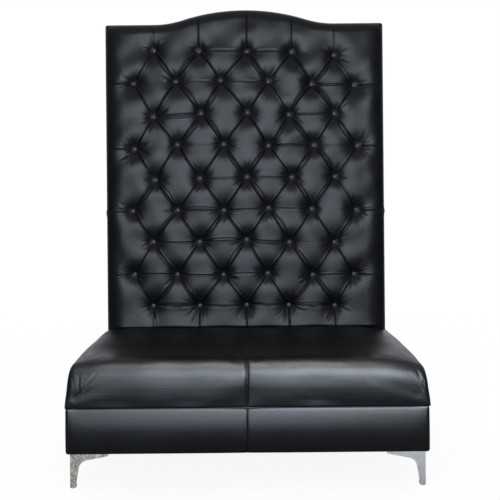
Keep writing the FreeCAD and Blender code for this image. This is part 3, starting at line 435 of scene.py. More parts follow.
# %% [markdown]
# ## The tufted back
# On the real back one hide is laid over thick filling, drawn in at every button, and its slack is
# folded into pleats that run from button to button. The surface is a depth over a flat layout: wide
# valleys along the pleats, funnels at the buttons, a narrow fold line in each valley, and the rounded
# margins. A mesh whose edges follow the pleats keeps the folds crisp, so the layout is made of one
# grid for each diamond and each edge cell, joined along the pleats.

# %% Layout of the tufted back
SIDE = back_high.x
SEAM_INSET = HALF_WIDTH - SIDE


def shares(count, crowd):
    """Even shares from 0 to 1, crowded towards both ends."""
    even = np.linspace(0, 1, count + 1)
    return even - crowd * np.sin(2 * math.pi * even)


ALONG_PLEAT, TO_SIDE = shares(72, 0.06), shares(40, 0.05)


def blend(start, end, share):
    return start + (end - start) * share


def diamond(above, right, below, left):
    """Layout points of a whole diamond between four buttons."""
    u, v = ALONG_PLEAT[:, None], ALONG_PLEAT[None, :]
    a, b, c, d = (np.array(button)[:, None, None] for button in (above, right, below, left))
    return (a * (1 - u) + b * u) * (1 - v) + (d * (1 - u) + c * u) * v


def strip(button, inner, edge):
    """Layout points between a pleat and the top or the foot of the back."""
    u, v = ALONG_PLEAT[:, None], ALONG_PLEAT[None, :]
    x = blend(button[0], inner[0], v) + 0 * u
    return np.stack([x, blend(blend(button[1], inner[1], v), edge(x), u)])


def flank(upper, lower, sign):
    """Layout points between a pleat of the end buttons and one side."""
    u, v = TO_SIDE[:, None], ALONG_PLEAT[None, :]
    z = blend(upper[1], lower[1], v) + 0 * u
    return np.stack([blend(blend(upper[0], lower[0], v), sign * SIDE, u), z])


def corner(end, sign, edge):
    """Layout points beside the end button of the first or last row."""
    u, v = ALONG_PLEAT[:, None], TO_SIDE[None, :]
    x = blend(end[0], sign * SIDE, v) + 0 * u
    return np.stack([x, blend(end[1], edge(x), u)])


def to_top(x):
    return top_line(x, SEAM_INSET)


def to_foot(x):
    return BOX_TOP + 0 * x


layout = []
for middle in range(1, len(ROWS) - 1):
    row, above, below = ROWS[middle], ROWS[middle - 1], ROWS[middle + 1]
    step = 0 if len(row) > len(above) else 1
    for index in range(len(row) - 1):
        layout.append(diamond(above[index + step], row[index + 1], below[index + step], row[index]))
for row, inner_row, edge in ((ROWS[0], ROWS[1], to_top), (ROWS[-1], ROWS[-2], to_foot)):
    for index in range(len(row) - 1):
        for button in (row[index], row[index + 1]):
            layout.append(strip(button, inner_row[index + 1], edge))
for sign in (-1, 1):
    ends = [row[-1 if sign > 0 else 0] for row in ROWS]
    for upper, lower in zip(ends, ends[1:]):
        layout.append(flank(upper, lower, sign))
    layout.append(corner(ends[0], sign, to_top))
    layout.append(corner(ends[-1], sign, to_foot))
print("cells:", len(layout), "points:", sum(cell[0].size for cell in layout))

# %% [markdown]
# Each fold is a line on the layout with a few sizes: how deep and wide its trough is, how high its
# lips, and how far it bows. Pleats run between buttons of neighbouring rows, and outward folds from
# the first and last rows and the ends to the margins. The slack of the hide lies over one edge of
# the trough as a thin roll, so a fold has a high lip on that side and a low one opposite. Some
# pleats are doubled by a softer fold beside them.

# %% Pleats, and the slack folds between buttons of one row
NEIGHBOUR_REACH = 150 * MM
PLEATS = []
for number in range(len(ROWS) - 1):
    for x, z in ROWS[number]:
        for other in ROWS[number + 1]:
            if abs(other[0] - x) < NEIGHBOUR_REACH:
                PLEATS.append(((x, z), other))
OUTWARD = [((x, z), (x, float(to_top(x)))) for x, z in ROWS[0]]
OUTWARD += [((x, z), (x, BOX_TOP)) for x, z in ROWS[-1]]
for row in ROWS[1::2]:
    OUTWARD += [(row[0], (-SIDE, row[0][1] - 3 * MM)), (row[-1], (SIDE, row[-1][1] - 3 * MM))]

# strength of the slack fold from each button to the next one of its row, in tenths
SLACK_TENTHS = [
    [0, 6, 6, 0],
    [0, 2, 4, 0, 8],
    [9, 0, 0, 6],
    [0, 2, 0, 8, 3],
    [0, 5, 5, 0],
    [0, 9, 5, 3, 0],
    [8, 9, 9, 1],
    [6, 8, 3, 0, 7],
    [9, 6, 7, 9],
]
print("pleats:", len(PLEATS), "outward folds:", len(OUTWARD))


def near_line(x, z, start, end):
    """Share along a line, the distance from it, and the sideways distance, positive below it."""
    run = np.array(end) - np.array(start)
    length = float(np.hypot(*run))
    along = run / length
    down = np.array([along[1], -along[0]])
    if down[1] > 0:
        down = -down
    share = ((x - start[0]) * along[0] + (z - start[1]) * along[1]) / length
    inside = np.clip(share, 0, 1)
    off_x = x - (start[0] + run[0] * inside)
    off_z = z - (start[1] + run[1] * inside)
    side = (x - start[0]) * down[0] + (z - start[1]) * down[1]
    return inside, np.hypot(off_x, off_z), side


def bell(distance, width, power=2.0):
    return np.exp(-((np.abs(distance) / width) ** power))


# %% How one fold is pressed in
rng = np.random.default_rng(SEED)


def share_of(part, whole):
    """How much of a length a part of it is, from 0 to 1."""
    return np.clip(part / whole, 0, 1)


def smooth(share):
    """Starts and stops gently between 0 and 1."""
    return share**2 * (3 - 2 * share)


def rounded(inwards, radius):
    """The fall of a quarter ellipse, from 0 at its inner end to 1 at the outer end."""
    return 1 - np.sqrt(1 - (1 - share_of(inwards, radius)) ** 2)


def toward(angle):
    return np.array([math.cos(angle), math.sin(angle)])


def groove(offset, trough, width, lip, flap):
    """A fold seen end on: a trough with a high lip on the flap's side and a low one opposite."""
    high = bell(offset + 2.3 * width * flap, 1.2 * width)
    low = bell(offset - 2.9 * width * flap, 1.7 * width)
    return trough * bell(offset, width) - lip * (1.6 * high + 0.5 * low)


def close_to(x, z, start, end, reach):
    """Which places lie in the box round a line, with room on every side."""
    near = (x > min(start[0], end[0]) - reach) & (x < max(start[0], end[0]) + reach)
    return near & (z > min(start[1], end[1]) - reach) & (z < max(start[1], end[1]) + reach)


def add_fold(depth, x, z, start, end, trough, width, lip, bow=0.0, fade_over=10 * MM, flap=1):
    """Presses one fold into the depth, fading out towards both of its ends."""
    near = close_to(x, z, start, end, 8 * width + abs(bow))
    inside, _, side = near_line(x[near], z[near], start, end)
    length = math.hypot(end[0] - start[0], end[1] - start[1])
    fade = smooth(share_of(np.minimum(inside, 1 - inside) * length, fade_over))
    depth[near] += fade * groove(side - bow * np.sin(math.pi * inside), trough, width, lip, flap)


# %% [markdown]
# The broad form comes first: a wide soft valley along every line, and funnels that draw the hide in
# at the buttons. Valleys that cross are joined by their fourth powers, so the deeper one wins and no
# ridge is left between them.

# %% Valleys and funnels
# the lines, the valley's depth halfway along them and at their ends, and its width
VALLEYS = ((PLEATS, 1.8 * MM, 6 * MM, 15 * MM), (OUTWARD, 0.6 * MM, 4 * MM, 12 * MM))
VALLEY_REACH = 90 * MM
# depth and width of the two funnels round a button, one inside the other
FUNNELS = ((23 * MM, 44 * MM), (6 * MM, 16 * MM))


def valleys(x, z):
    """Wide soft valleys along the pleats, and funnels round each button."""
    fourth_powers = np.zeros_like(x)
    for lines, halfway, at_ends, width in VALLEYS:
        for start, end in lines:
            near = close_to(x, z, start, end, VALLEY_REACH)
            share, distance, _ = near_line(x[near], z[near], start, end)
            along = halfway + (at_ends - halfway) * np.abs(2 * share - 1) ** 2.5
            fourth_powers[near] += (along * bell(distance, width, 1.3)) ** 4
    depth = fourth_powers**0.25
    for across, up in BUTTONS:
        away = np.hypot(x - across, z - up)
        for deep, width in FUNNELS:
            depth += deep * bell(away, width, 1.5)
    return depth


# %% [markdown]
# The crisp folds come next. A pleat is about two millimetres wide and six deep. The slack folds
# between the buttons of one row follow the table. Fine wrinkles and soft rays come from a seeded
# generator, so they are the same on every run.

# %% Pleats, slack folds and wrinkles
def main_folds(x, z):
    """The pleats, some of them doubled, and the slack folds between buttons of one row."""
    depth = np.zeros_like(x)
    for start, end in PLEATS:
        bow = rng.uniform(-2.5, 2.5) * MM
        flap = 1 if rng.random() < 0.65 else -1
        add_fold(depth, x, z, start, end, rng.uniform(5, 6.5) * MM, rng.uniform(1.8, 2.2) * MM,
                 rng.uniform(0.9, 1.5) * MM, bow, flap=flap)
        if rng.random() < 0.4:
            apart = rng.choice([-1, 1]) * rng.uniform(12, 17) * MM
            add_fold(depth, x, z, start, end, rng.uniform(1.4, 2.6) * MM, 2.2 * MM, 0.8 * MM,
                     bow + apart, 30 * MM)
    for start, end in OUTWARD:
        way = np.array(end) - np.array(start)
        past_margin = np.array(end) + way / np.hypot(*way) * 12 * MM
        trough = (4.5 if end[1] < BOX_TOP + 1 * MM else 2.8) * MM
        add_fold(depth, x, z, start, past_margin, trough, 1.7 * MM, 0.25 * trough,
                 rng.uniform(-1, 1) * MM)
    for row, tenths in zip(ROWS, SLACK_TENTHS):
        for start, end, tenth in zip(row, row[1:], tenths):
            bow = rng.uniform(-3, 4) * MM
            strength = 0.1 * tenth
            add_fold(depth, x, z, start, end, 6.2 * MM * strength, 2.3 * MM, 0.9 * MM * strength,
                     bow, 35 * MM, flap=rng.choice([-1, 1]))
            if tenth > 8:
                add_fold(depth, x, z, start, end, 2.4 * MM, 2.5 * MM, 0.9 * MM,
                         bow + rng.choice([-12, 12]) * MM, 50 * MM)
    return depth


def fan(at, count, turn, spread_angle, near, far, trough):
    """Short wrinkles that leave a button round one direction, from near to far."""
    found = []
    for _ in range(count):
        way = toward(turn + rng.normal(0, spread_angle))
        start = np.array(at) + way * near * MM * rng.uniform(0.8, 1.3)
        end = np.array(at) + way * far * MM * rng.uniform(0.6, 1.15)
        found.append((start, end, trough * MM * rng.uniform(0.5, 1.3)))
    return found


def fine_wrinkles(x, z):
    """Fans of wrinkles: two at every button, more at the ends of rows and along the foot."""
    found = []
    for number, row in enumerate(ROWS):
        for index, at in enumerate(row):
            for turn in (0, math.pi):
                found += fan(at, 4, turn, 0.4, 11, 52, 1.5)
            found += fan(at, 2, rng.uniform(0, 2 * math.pi), 0.5, 11, 40, 1.2)
            if number % 2 and index in (0, len(row) - 1):
                found += fan(at, 5, math.pi if index == 0 else 0, 0.5, 13, 66, 1.7)
            if number == len(ROWS) - 1:
                found += fan(at, 5 if index % 2 else 10, -math.pi / 2, 0.75, 13, 80, 2.1)
    found += fan(ROWS[0][-1], 3, 0.8, 0.2, 12, 80, 2.4)
    depth = np.zeros_like(x)
    for start, end, trough in found:
        bow = rng.uniform(-3, 3) * MM
        add_fold(depth, x, z, start, end, 0.85 * trough, 1.8 * MM, 0.4 * trough, bow, 20 * MM,
                 flap=rng.choice([-1, 1]))
    return depth


def soft_rays(x, z):
    """Wide shallow folds that leave every button and die out in the puffs."""
    depth = np.zeros_like(x)
    for at in BUTTONS:
        for turn in np.linspace(0, 2 * math.pi, 9)[:-1] + rng.uniform(0, 0.7):
            way = toward(turn + rng.normal(0, 0.15))
            start, end = np.array(at) + way * 8 * MM, np.array(at) + way * rng.uniform(48, 90) * MM
            trough = rng.uniform(0.4, 1.5) * MM
            add_fold(depth, x, z, start, end, trough, rng.uniform(4, 7) * MM, 0.4 * trough,
                     rng.uniform(-5, 5) * MM, 34 * MM, flap=rng.choice([-1, 1]))
    return depth


# %% [markdown]
# Last come the slow differences: waves in the filling, puffs that are fuller or flatter than others,
# the foot that the seat pushes forward, and the margins that roll back to the seam.

# %% Unevenness, margins and the whole depth
def slow_waves(a, b, count, least, most, slope):
    """Slow seeded waves over a sheet, because hide over hand-laid filling is never even."""
    depth = np.zeros_like(a)
    for _ in range(count):
        length = rng.uniform(least, most) * MM
        angle = rng.uniform(0, math.pi)
        along = a * math.cos(angle) + b * math.sin(angle)
        depth += slope * length * np.sin(2 * math.pi * along / length + rng.uniform(0, 2 * math.pi))
    return depth


PUFF_LEAN, PUFF_HALF_WIDTH = 0.036, 62 * MM


def puff_differences(x, z):
    """Each puff is a little fuller or flatter than the next one, and leans its own way."""
    depth = np.zeros_like(x)
    for cell in layout:
        middle = cell.reshape(2, -1).mean(axis=1)
        dx, dz = x - middle[0], z - middle[1]
        lean = rng.normal(0, PUFF_LEAN, 2)
        own = rng.normal(0, 1.0) * MM + lean[0] * dx + lean[1] * dz
        depth += own * bell(np.hypot(dx, dz), PUFF_HALF_WIDTH, 3)
    return depth


SEAT_LINE = 434 * MM
# how far forward the foot leans, up to what height above the seat, and how fast it fades
FOOT_LEANS = ((7 * MM, 380 * MM, 1.6), (7 * MM, 65 * MM, 1.4))
MOST_FORWARD = 14 * MM


def foot_swell(z):
    """The foot of the back leans forward, because the seat holds it up."""
    above = z - SEAT_LINE
    leans = [far * np.clip(1 - above / tall, 0, 1) ** power for far, tall, power in FOOT_LEANS]
    return -np.where(above > 0, sum(leans), MOST_FORWARD * bell(above, 4 * MM))


MARGIN_SIDE, MARGIN_TOP = 84 * MM, 50 * MM


def margin_depth(x, z):
    """How far the leather rolls back towards the seam at the sides and the top, from 0 to 1."""
    side = rounded(SIDE - np.abs(x), MARGIN_SIDE)
    top = rounded(to_top(x) - z, MARGIN_TOP)
    return np.clip(np.maximum(side, top) + 0.6 * np.minimum(side, top), 0, 1)


# the puffs' own depth, and where a fold stops growing in proportion and how much it may still gain
PUFF_LEVEL = 2.5 * MM
PROPORTIONAL, LAST_GAIN = 19 * MM, 10 * MM


def surface_depth(x, z):
    """The whole depth: no fold goes deeper than the buttons' backs, and the rim meets the seam."""
    rolled = margin_depth(x, z)
    whole = SEAM_PLANE - BACK_FRONT
    folds = PUFF_LEVEL + valleys(x, z) + main_folds(x, z) + fine_wrinkles(x, z) + soft_rays(x, z)
    folds += slow_waves(x, z, 10, 70, 160, 0.0028) + puff_differences(x, z) + foot_swell(z)
    eased = PROPORTIONAL + LAST_GAIN * np.tanh((folds - PROPORTIONAL) / LAST_GAIN)
    folds = np.where(folds > PROPORTIONAL, eased, folds)
    return np.clip(whole * rolled + (1 - rolled) * folds, -MOST_FORWARD, whole)


# %% Build the tufted back
def tufted_mesh():
    """Points and quads of the whole front, with the points that cells share counted once."""
    points = np.concatenate([cell.reshape(2, -1) for cell in layout], axis=1)
    keys = np.round(points / (0.02 * MM)).astype(np.int64)
    _, first, shared = np.unique(keys, axis=1, return_index=True, return_inverse=True)
    shared = shared.reshape(-1)
    x, z = points[0][first], points[1][first]
    quads, start = [], 0
    for cell in layout:
        quads.append(shared[grid_faces(cell.shape[1], cell.shape[2], start)])
        start += cell[0].size
    return np.stack([x, BACK_FRONT + surface_depth(x, z), z], axis=1), np.concatenate(quads)


def from_quads(name, points, quads, material):
    """The quick way to a large mesh of quads."""
    mesh = bpy.data.meshes.new(name)
    mesh.vertices.add(len(points))
    mesh.vertices.foreach_set("co", points.astype(np.float32).ravel())
    mesh.loops.add(quads.size)
    mesh.loops.foreach_set("vertex_index", quads.astype(np.int32).ravel())
    mesh.polygons.add(len(quads))
    mesh.polygons.foreach_set("loop_start", np.arange(0, quads.size, 4, dtype=np.int32))
    mesh.update(calc_edges=True)
    mesh.validate()
    mesh.materials.append(material)
    obj = bpy.data.objects.new(name, mesh)
    bpy.context.scene.collection.objects.link(obj)
    return obj


def closed_behind(obj, doubles=0.05 * MM):
    """Turns the foot back to the seam's plane and closes the rim with one flat face."""
    work = bmesh.new()
    work.from_mesh(obj.data)
    bmesh.ops.remove_doubles(work, verts=work.verts, dist=doubles)
    low = BOX_TOP + 0.01 * MM
    foot = [e for e in work.edges if e.is_boundary and max(v.co.z for v in e.verts) < low]
    for new in bmesh.ops.extrude_edge_only(work, edges=foot)["geom"]:
        if isinstance(new, bmesh.types.BMVert):
            new.co.y = SEAM_PLANE
    bmesh.ops.remove_doubles(work, verts=work.verts, dist=doubles)
    rim = [edge for edge in work.edges if edge.is_boundary]
    print("rim is flat to", max(abs(v.co.y - SEAM_PLANE) for edge in rim for v in edge.verts))
    bmesh.ops.contextual_create(work, geom=rim)
    bmesh.ops.recalc_face_normals(work, faces=work.faces)
    work.to_mesh(obj.data)
    work.free()
    obj.data.shade_smooth()
    return obj


tufted = closed_behind(from_quads("tufted_back", *tufted_mesh(), back_leather))
dress(tufted, "leather", "tufted_back_cover", fill=0.8)


# %% [markdown]
# The buttons are small metal shells covered in leather. Their leather is given a lighter grey than the
# hide round them, a painted highlight for the light that their domes catch. One dome is made from a
# sphere that is pressed flat, and every other button is a copy of it, set in its dimple.

# %% Buttons
BUTTON_RADIUS, BUTTON_FLATNESS = 9.2 * MM, 0.5
BUTTON_DEPTH = 23 * MM


def one_button():
    nothing_selected()
    bpy.ops.mesh.primitive_uv_sphere_add(segments=20, ring_count=12, radius=BUTTON_RADIUS)
    dome = bpy.context.object
    bpy.ops.object.mode_set(mode="EDIT")
    bpy.ops.mesh.select_all(action="SELECT")
    bpy.ops.transform.rotate(
        value=math.pi / 2, orient_axis="X", center_override=(0, 0, 0)
    )
    bpy.ops.transform.resize(value=(1, BUTTON_FLATNESS, 1), center_override=(0, 0, 0))
    bpy.ops.object.mode_set(mode="OBJECT")
    return dome


dome = one_button()
dome_points = points_of(dome)
dome_faces = [np.array(face.vertices) for face in dome.data.polygons]
bpy.data.objects.remove(dome)
all_points = [dome_points + np.array([x, BACK_FRONT + BUTTON_DEPTH, z]) for x, z in BUTTONS]
all_faces = [face + start for start in range(0, len(BUTTONS) * len(dome_points), len(dome_points))
             for face in dome_faces]
# the buttons get the lighter leather: a painted highlight on each dome
buttons = piece("back_buttons", np.concatenate(all_points), all_faces, highlight_painted_leather)
dress(buttons, "leather", "tuft_buttons")


# %% [markdown]
# ## The tight seat
# The seat is a block of foam under wadding and leather, sewn in two halves with a seam from front to
# back. Its outline from the side is a rolled front edge and a low crown. Towards each end the same
# outline is drawn in and lowered, which gives the rounded shoulders and corners. The real seat isn't
# quite even, so the two ends fall by different amounts, and each has drag lines of its own.

# %% Sections of the seat
# sizes that differ between the two ends, by side: -1 is the left one
SEAT_SIDES = {-1: seat_high.x + 1 * MM, 1: seat_high.x + 3 * MM}
SHOULDER_DROPS, FRONT_DROPS = {-1: 8 * MM, 1: 19 * MM}, {-1: 9 * MM, 1: 15 * MM}
CORNER_WIDTHS, CORNER_DROPS = {-1: 24 * MM, 1: 19 * MM}, {-1: 24 * MM, 1: 18 * MM}
# drag lines at the front corners: start and end across and up, and how deep, in millimetres
CORNER_CREASES = {
    -1: [(-499, 396, -586, 290, 1.0), (-590, 390, -582, 350, 1.4), (-566, 394, -562, 300, 0.8),
         (-300, 366, -268, 390, 0.7)],
    1: [(563, 402, 590, 342, 1.3), (596, 382, 588, 318, 1.0), (536, 388, 596, 300, 0.8),
        (262, 372, 228, 394, 0.6)],
}
SEAT_FRONT, SEAT_REAR = seat_low.y, seat_high.y
SEAT_CROWN_RADIUS, SEAT_CROWN_TOP = 3700 * MM, 438.5 * MM
SEAT_CROWN_Y = FRONT + 390 * MM
SHOULDER_WIDTH = 200 * MM
SHOULDER_DRAW, CORNER_DRAW = 3 * MM, 14 * MM
DRAWN_IN_OVER, DRAWN_AWAY_OVER = 70 * MM, 200 * MM
FRONT_DEEP, FRONT_HIGH, LEAST_STRAIGHT = 60 * MM, 92 * MM, 8 * MM
FRONT_POINTS, ROLL_POINTS, TOP_POINTS = 30, 56, 110
FOOT_TURN, FOOT_TALL = 4 * MM, 8 * MM


def seat_section(front, drop, draw=0.0):
    """Points from the foot of the front, round the full front edge and over the crown."""
    crown = SEAT_CROWN_RADIUS - drop
    centre_z = SEAT_CROWN_TOP - SEAT_CROWN_RADIUS
    edge_y = front + FRONT_DEEP
    edge_z = centre_z + math.sqrt(crown**2 - (edge_y - SEAT_CROWN_Y) ** 2)
    slope = (SEAT_CROWN_Y - edge_y) / (edge_z - centre_z)
    high = min(FRONT_HIGH, edge_z - BOX_TOP - LEAST_STRAIGHT)
    turn = np.linspace(0, math.pi / 2, ROLL_POINTS, endpoint=False)
    rise = np.linspace(BOX_TOP, edge_z - high, FRONT_POINTS, endpoint=False)
    y_roll = edge_y - FRONT_DEEP * np.cos(turn)
    z_roll = edge_z - high + high * np.sin(turn) - slope * FRONT_DEEP * np.cos(turn) * np.sin(turn) ** 3
    y_front = front + FOOT_TURN * rounded(rise - BOX_TOP, FOOT_TALL)
    y_top = np.linspace(edge_y, SEAT_REAR, TOP_POINTS)
    z_top = centre_z + np.sqrt(crown**2 - (y_top - SEAT_CROWN_Y) ** 2)
    y = np.concatenate([y_front, y_roll, y_top])
    z = np.concatenate([rise, z_roll, z_top])
    drawn = smooth(share_of(z - BOX_TOP, DRAWN_IN_OVER))
    return y + draw * share_of(SEAT_FRONT + DRAWN_AWAY_OVER - y, DRAWN_AWAY_OVER) * drawn, z


def seat_stations(sign):
    """Places across one half, with how far the section is drawn in and lowered there."""
    side, corner_width = SEAT_SIDES[sign], CORNER_WIDTHS[sign]
    near_seam = np.linspace(0, 30 * MM, 30, endpoint=False)
    flat = np.linspace(30 * MM, 480 * MM, 120, endpoint=False)
    creased = np.linspace(480 * MM, side - corner_width, 60, endpoint=False)
    round_corner = side - corner_width * (1 - np.cos(np.linspace(math.pi / 2, 0, 22)))
    across = np.concatenate([near_seam, flat, creased, round_corner])
    wide = 1 - share_of(side - across, SHOULDER_WIDTH)
    at_corner = rounded(side - across, corner_width)
    drops = SHOULDER_DROPS[sign] * wide**2.2 + CORNER_DROPS[sign] * at_corner
    return sign * across, SHOULDER_DRAW * wide**3 + CORNER_DRAW * at_corner, drops


# %% [markdown]
# Each half is a closed form: its sections stand side by side from the middle seam to the end. Then
# every point is pulled inwards, a little everywhere, more along the seam, and in slow waves.

# %% One half of the seat
# how deep the seam pulls the hide in and how far from it, close by and further away
SEAM_PULL, SEAM_WIDTH = 4.2 * MM, 6.5 * MM
WIDE_PULL, WIDE_WIDTH = 1.6 * MM, 80 * MM
CREASED_FRONT = SEAT_FRONT + 90 * MM


def seat_half(name, sign):
    """One half of the seat as a closed form, with its seam drawn in along the middle."""
    across, draws, drops = seat_stations(sign)
    sections = [seat_section(SEAT_FRONT, drop, draw) for draw, drop in zip(draws, drops)]
    y, z = (np.array(values) for values in zip(*sections))
    x = across[:, None] + 0 * y
    wide = 1 - share_of(SEAT_SIDES[sign] - np.abs(x), SHOULDER_WIDTH)
    forward = share_of(SEAT_REAR - y, SEAT_REAR - SEAT_FRONT)
    z -= FRONT_DROPS[sign] * wide**2.2 * forward * share_of(z - BOX_TOP, 150 * MM)
    out = np.stack([y - SEAT_CROWN_Y, z - BOX_TOP])
    out /= np.linalg.norm(out, axis=0)
    pull = SEAM_PULL * bell(x, SEAM_WIDTH, 1.3) * (0.15 + 0.85 * share_of(z - BOX_TOP, 14 * MM))
    pull += WIDE_PULL * bell(x, WIDE_WIDTH, 1.5) + 1.2 * MM
    pull += share_of(z - BOX_TOP, 25 * MM) * slow_waves(x, y + z, 9, 130, 320, 0.0022)
    creases = np.zeros_like(pull)
    for x0, z0, x1, z1, deep in CORNER_CREASES[sign]:
        start, end = (x0 * MM, z0 * MM), (x1 * MM, z1 * MM)
        add_fold(creases, x, z, start, end, 0.8 * deep * MM, 3.8 * MM, 0.2 * deep * MM,
                 rng.uniform(-6, 6) * MM, 40 * MM, flap=rng.choice([-1, 1]))
    pull += np.where(y < CREASED_FRONT, creases, 0)
    points = np.stack([x, y - out[0] * pull, z - out[1] * pull], axis=2)
    foot = points[:, -1:].copy()
    foot[:, :, 2] = BOX_TOP
    return closed_form(name, np.concatenate([points, foot], axis=1), seat_leather)


seat_left = seat_half("seat_leather_left", -1)
seat_right = seat_half("seat_leather_right", 1)


# %% [markdown]
# A cloth simulation then settles both halves. A coarse copy is pinned along the seam, the foot and the
# rear, and blown up for twenty frames. The fine mesh follows a capped share of its movement, so the
# hide swells between its seams while its edges stay crisp.

# %% Cloth simulation on the seat
VOXEL, SWELL_CAP, SWELL_SHARE = 10 * MM, 5 * MM, 0.5
PRESSURE, STRETCH_STIFFNESS, BEND_STIFFNESS = 4.0, 25, 2
FRAMES = 20


def blown_up(obj):
    """Points of a coarse copy before the simulation, and how far each one moved."""
    bag = obj.copy()
    bag.data = obj.data.copy()
    bpy.context.scene.collection.objects.link(bag)
    only(bag)
    remesh = bag.modifiers.new("remesh", "REMESH")
    remesh.mode = "VOXEL"
    remesh.voxel_size = VOXEL
    bpy.ops.object.modifier_apply(modifier=remesh.name)
    before = points_of(bag)
    fixed = (before[:, 2] < BOX_TOP + VOXEL) | (np.abs(before[:, 0]) < VOXEL)
    fixed |= before[:, 1] > SEAT_REAR - VOXEL
    pins = bag.vertex_groups.new(name="pins")
    pins.add([int(i) for i in np.nonzero(fixed)[0]], 1.0, "REPLACE")
    cloth = bag.modifiers.new("cloth", "CLOTH")
    cloth.settings.vertex_group_mass = "pins"
    cloth.settings.use_pressure = True
    cloth.settings.uniform_pressure_force = PRESSURE
    cloth.settings.effector_weights.gravity = 0
    cloth.settings.tension_stiffness = cloth.settings.compression_stiffness = STRETCH_STIFFNESS
    cloth.settings.bending_stiffness = BEND_STIFFNESS
    cloth.collision_settings.use_collision = False
    for number in range(1, FRAMES + 1):
        bpy.context.scene.frame_set(number)
    bpy.ops.object.modifier_apply(modifier=cloth.name)
    moved = points_of(bag) - before
    bpy.data.objects.remove(bag)
    bpy.context.scene.frame_set(1)
    return before, moved


def settle(obj):
    """Moves a fine mesh by a capped share of what its coarse copy did."""
    before, moved = blown_up(obj)
    nearby = KDTree(len(before))
    for index, point in enumerate(before):
        nearby.insert(point, index)
    nearby.balance()
    points = points_of(obj)
    shift = np.zeros_like(points)
    for index, point in enumerate(points):
        found = nearby.find_n(point, 8)
        weights = bell(np.array([away for _, _, away in found]), 1.2 * VOXEL) + 1e-9
        shift[index] = weights @ moved[[i for _, i, _ in found]] / weights.sum()
    size = np.linalg.norm(shift, axis=1)[:, None] + 1e-9
    shift *= SWELL_SHARE * SWELL_CAP * np.tanh(size / SWELL_CAP) / size
    obj.data.vertices.foreach_set("co", (points + shift).astype(np.float32).ravel())
    obj.data.update()
    print(obj.name, "settled, largest move", round(float(np.linalg.norm(shift, axis=1).max()), 4))


settle(seat_left)
settle(seat_right)
dress(seat_left, "leather", "seat_cover_left", "seat_wadding", fill=0.9)
dress(seat_right, "leather", "seat_cover_right", "seat_foam", fill=0.9)

# %% [markdown]
# The seam between the halves is covered by a narrow strip, sewn down on both sides. It is a low
# rounded band that follows the same outline, sunk as far as the seam pulls the hide in.

# %% The felled strip over the seat's seam
STRIP_SUNK, STRIP_HALF_WIDTH, STRIP_RISE = 6.5 * MM, 3.2 * MM, 3.6 * MM


def band_along(name, path, normals, half_width, rise, material):
    """A low rounded band along a path in the middle plane, on both sides of it."""
    turn = np.linspace(0, math.pi, 9)
    raised_path = path[:, None] + normals[:, None] * (rise * np.sin(turn))[None, :, None]
    across = np.broadcast_to(-half_width * np.cos(turn), raised_path.shape[:2])
    return closed_form(name, np.dstack([across, raised_path]), material)


section = np.stack(seat_section(SEAT_FRONT, 0), axis=1)[3:-2]
step = np.gradient(section, axis=0)
outward = np.stack([-step[:, 1], step[:, 0]], axis=1) / np.hypot(*step.T)[:, None]
seam_strip = band_along("seat_seam_strip", section - outward * STRIP_SUNK, outward,
                        STRIP_HALF_WIDTH, STRIP_RISE, seat_leather)
dress(seam_strip, "leather")


# %% [markdown]
# ## The aprons
# A padded band of leather wraps the seat box. It is fullest a little under the middle of its height,
# its edges are turned in, and the front is sewn from two lengths that meet under the seat's seam.

# %% Apron bands
TURNED_EDGE, EDGE_GAP = 9 * MM, 0.6 * MM
FULLEST_SHARE, FULLNESS = 0.42, 7 * MM
FALL_ABOVE, FALL_BELOW = 17 * MM, 8 * MM
APRON_CORNER, APRON_INNER = 14 * MM, 9.5 * MM
NEAR_SEAM_STEPS, FRONT_STEPS, CORNER_STEPS, SIDE_STEPS = 20, 140, 12, 60


def apron_profile():
    """Heights of the band's points, how far its swell and its turned edges lie inside."""
    share = shares(40, 0.09)
    z = BOX_BOTTOM + EDGE_GAP + (BOX_TOP - BOX_BOTTOM - 2 * EDGE_GAP) * share
    swell = FALL_ABOVE * (np.clip(share - FULLEST_SHARE, 0, 1) / (1 - FULLEST_SHARE)) ** 2.2
    swell += FALL_BELOW * (np.clip(FULLEST_SHARE - share, 0, 1) / FULLEST_SHARE) ** 2.2 - FULLNESS
    turned = rounded(z - BOX_BOTTOM, TURNED_EDGE) + rounded(BOX_TOP - z, TURNED_EDGE)
    return z, swell, 0.5 * TURNED_EDGE * turned


def apron_path(sign):
    """Places round one front corner, from the middle seam to the rear, and the outward direction."""
    middle_x, middle_y = HALF_WIDTH - APRON_CORNER, FRONT + APRON_CORNER
    near_seam = 20 * MM
    path = [(x, FRONT, 0, -1) for x in np.linspace(0, near_seam, NEAR_SEAM_STEPS, endpoint=False)]
    path += [(x, FRONT, 0, -1) for x in np.linspace(near_seam, middle_x, FRONT_STEPS, endpoint=False)]
    for a in np.linspace(-math.pi / 2, 0, CORNER_STEPS, endpoint=False):
        nx, ny = math.cos(a), math.sin(a)
        path.append((middle_x + APRON_CORNER * nx, middle_y + APRON_CORNER * ny, nx, ny))
    path += [(HALF_WIDTH, y, 1, 0) for y in np.linspace(middle_y, REAR - 2 * LEATHER, SIDE_STEPS)]
    return [(sign * x, y, sign * nx, ny) for x, y, nx, ny in path]


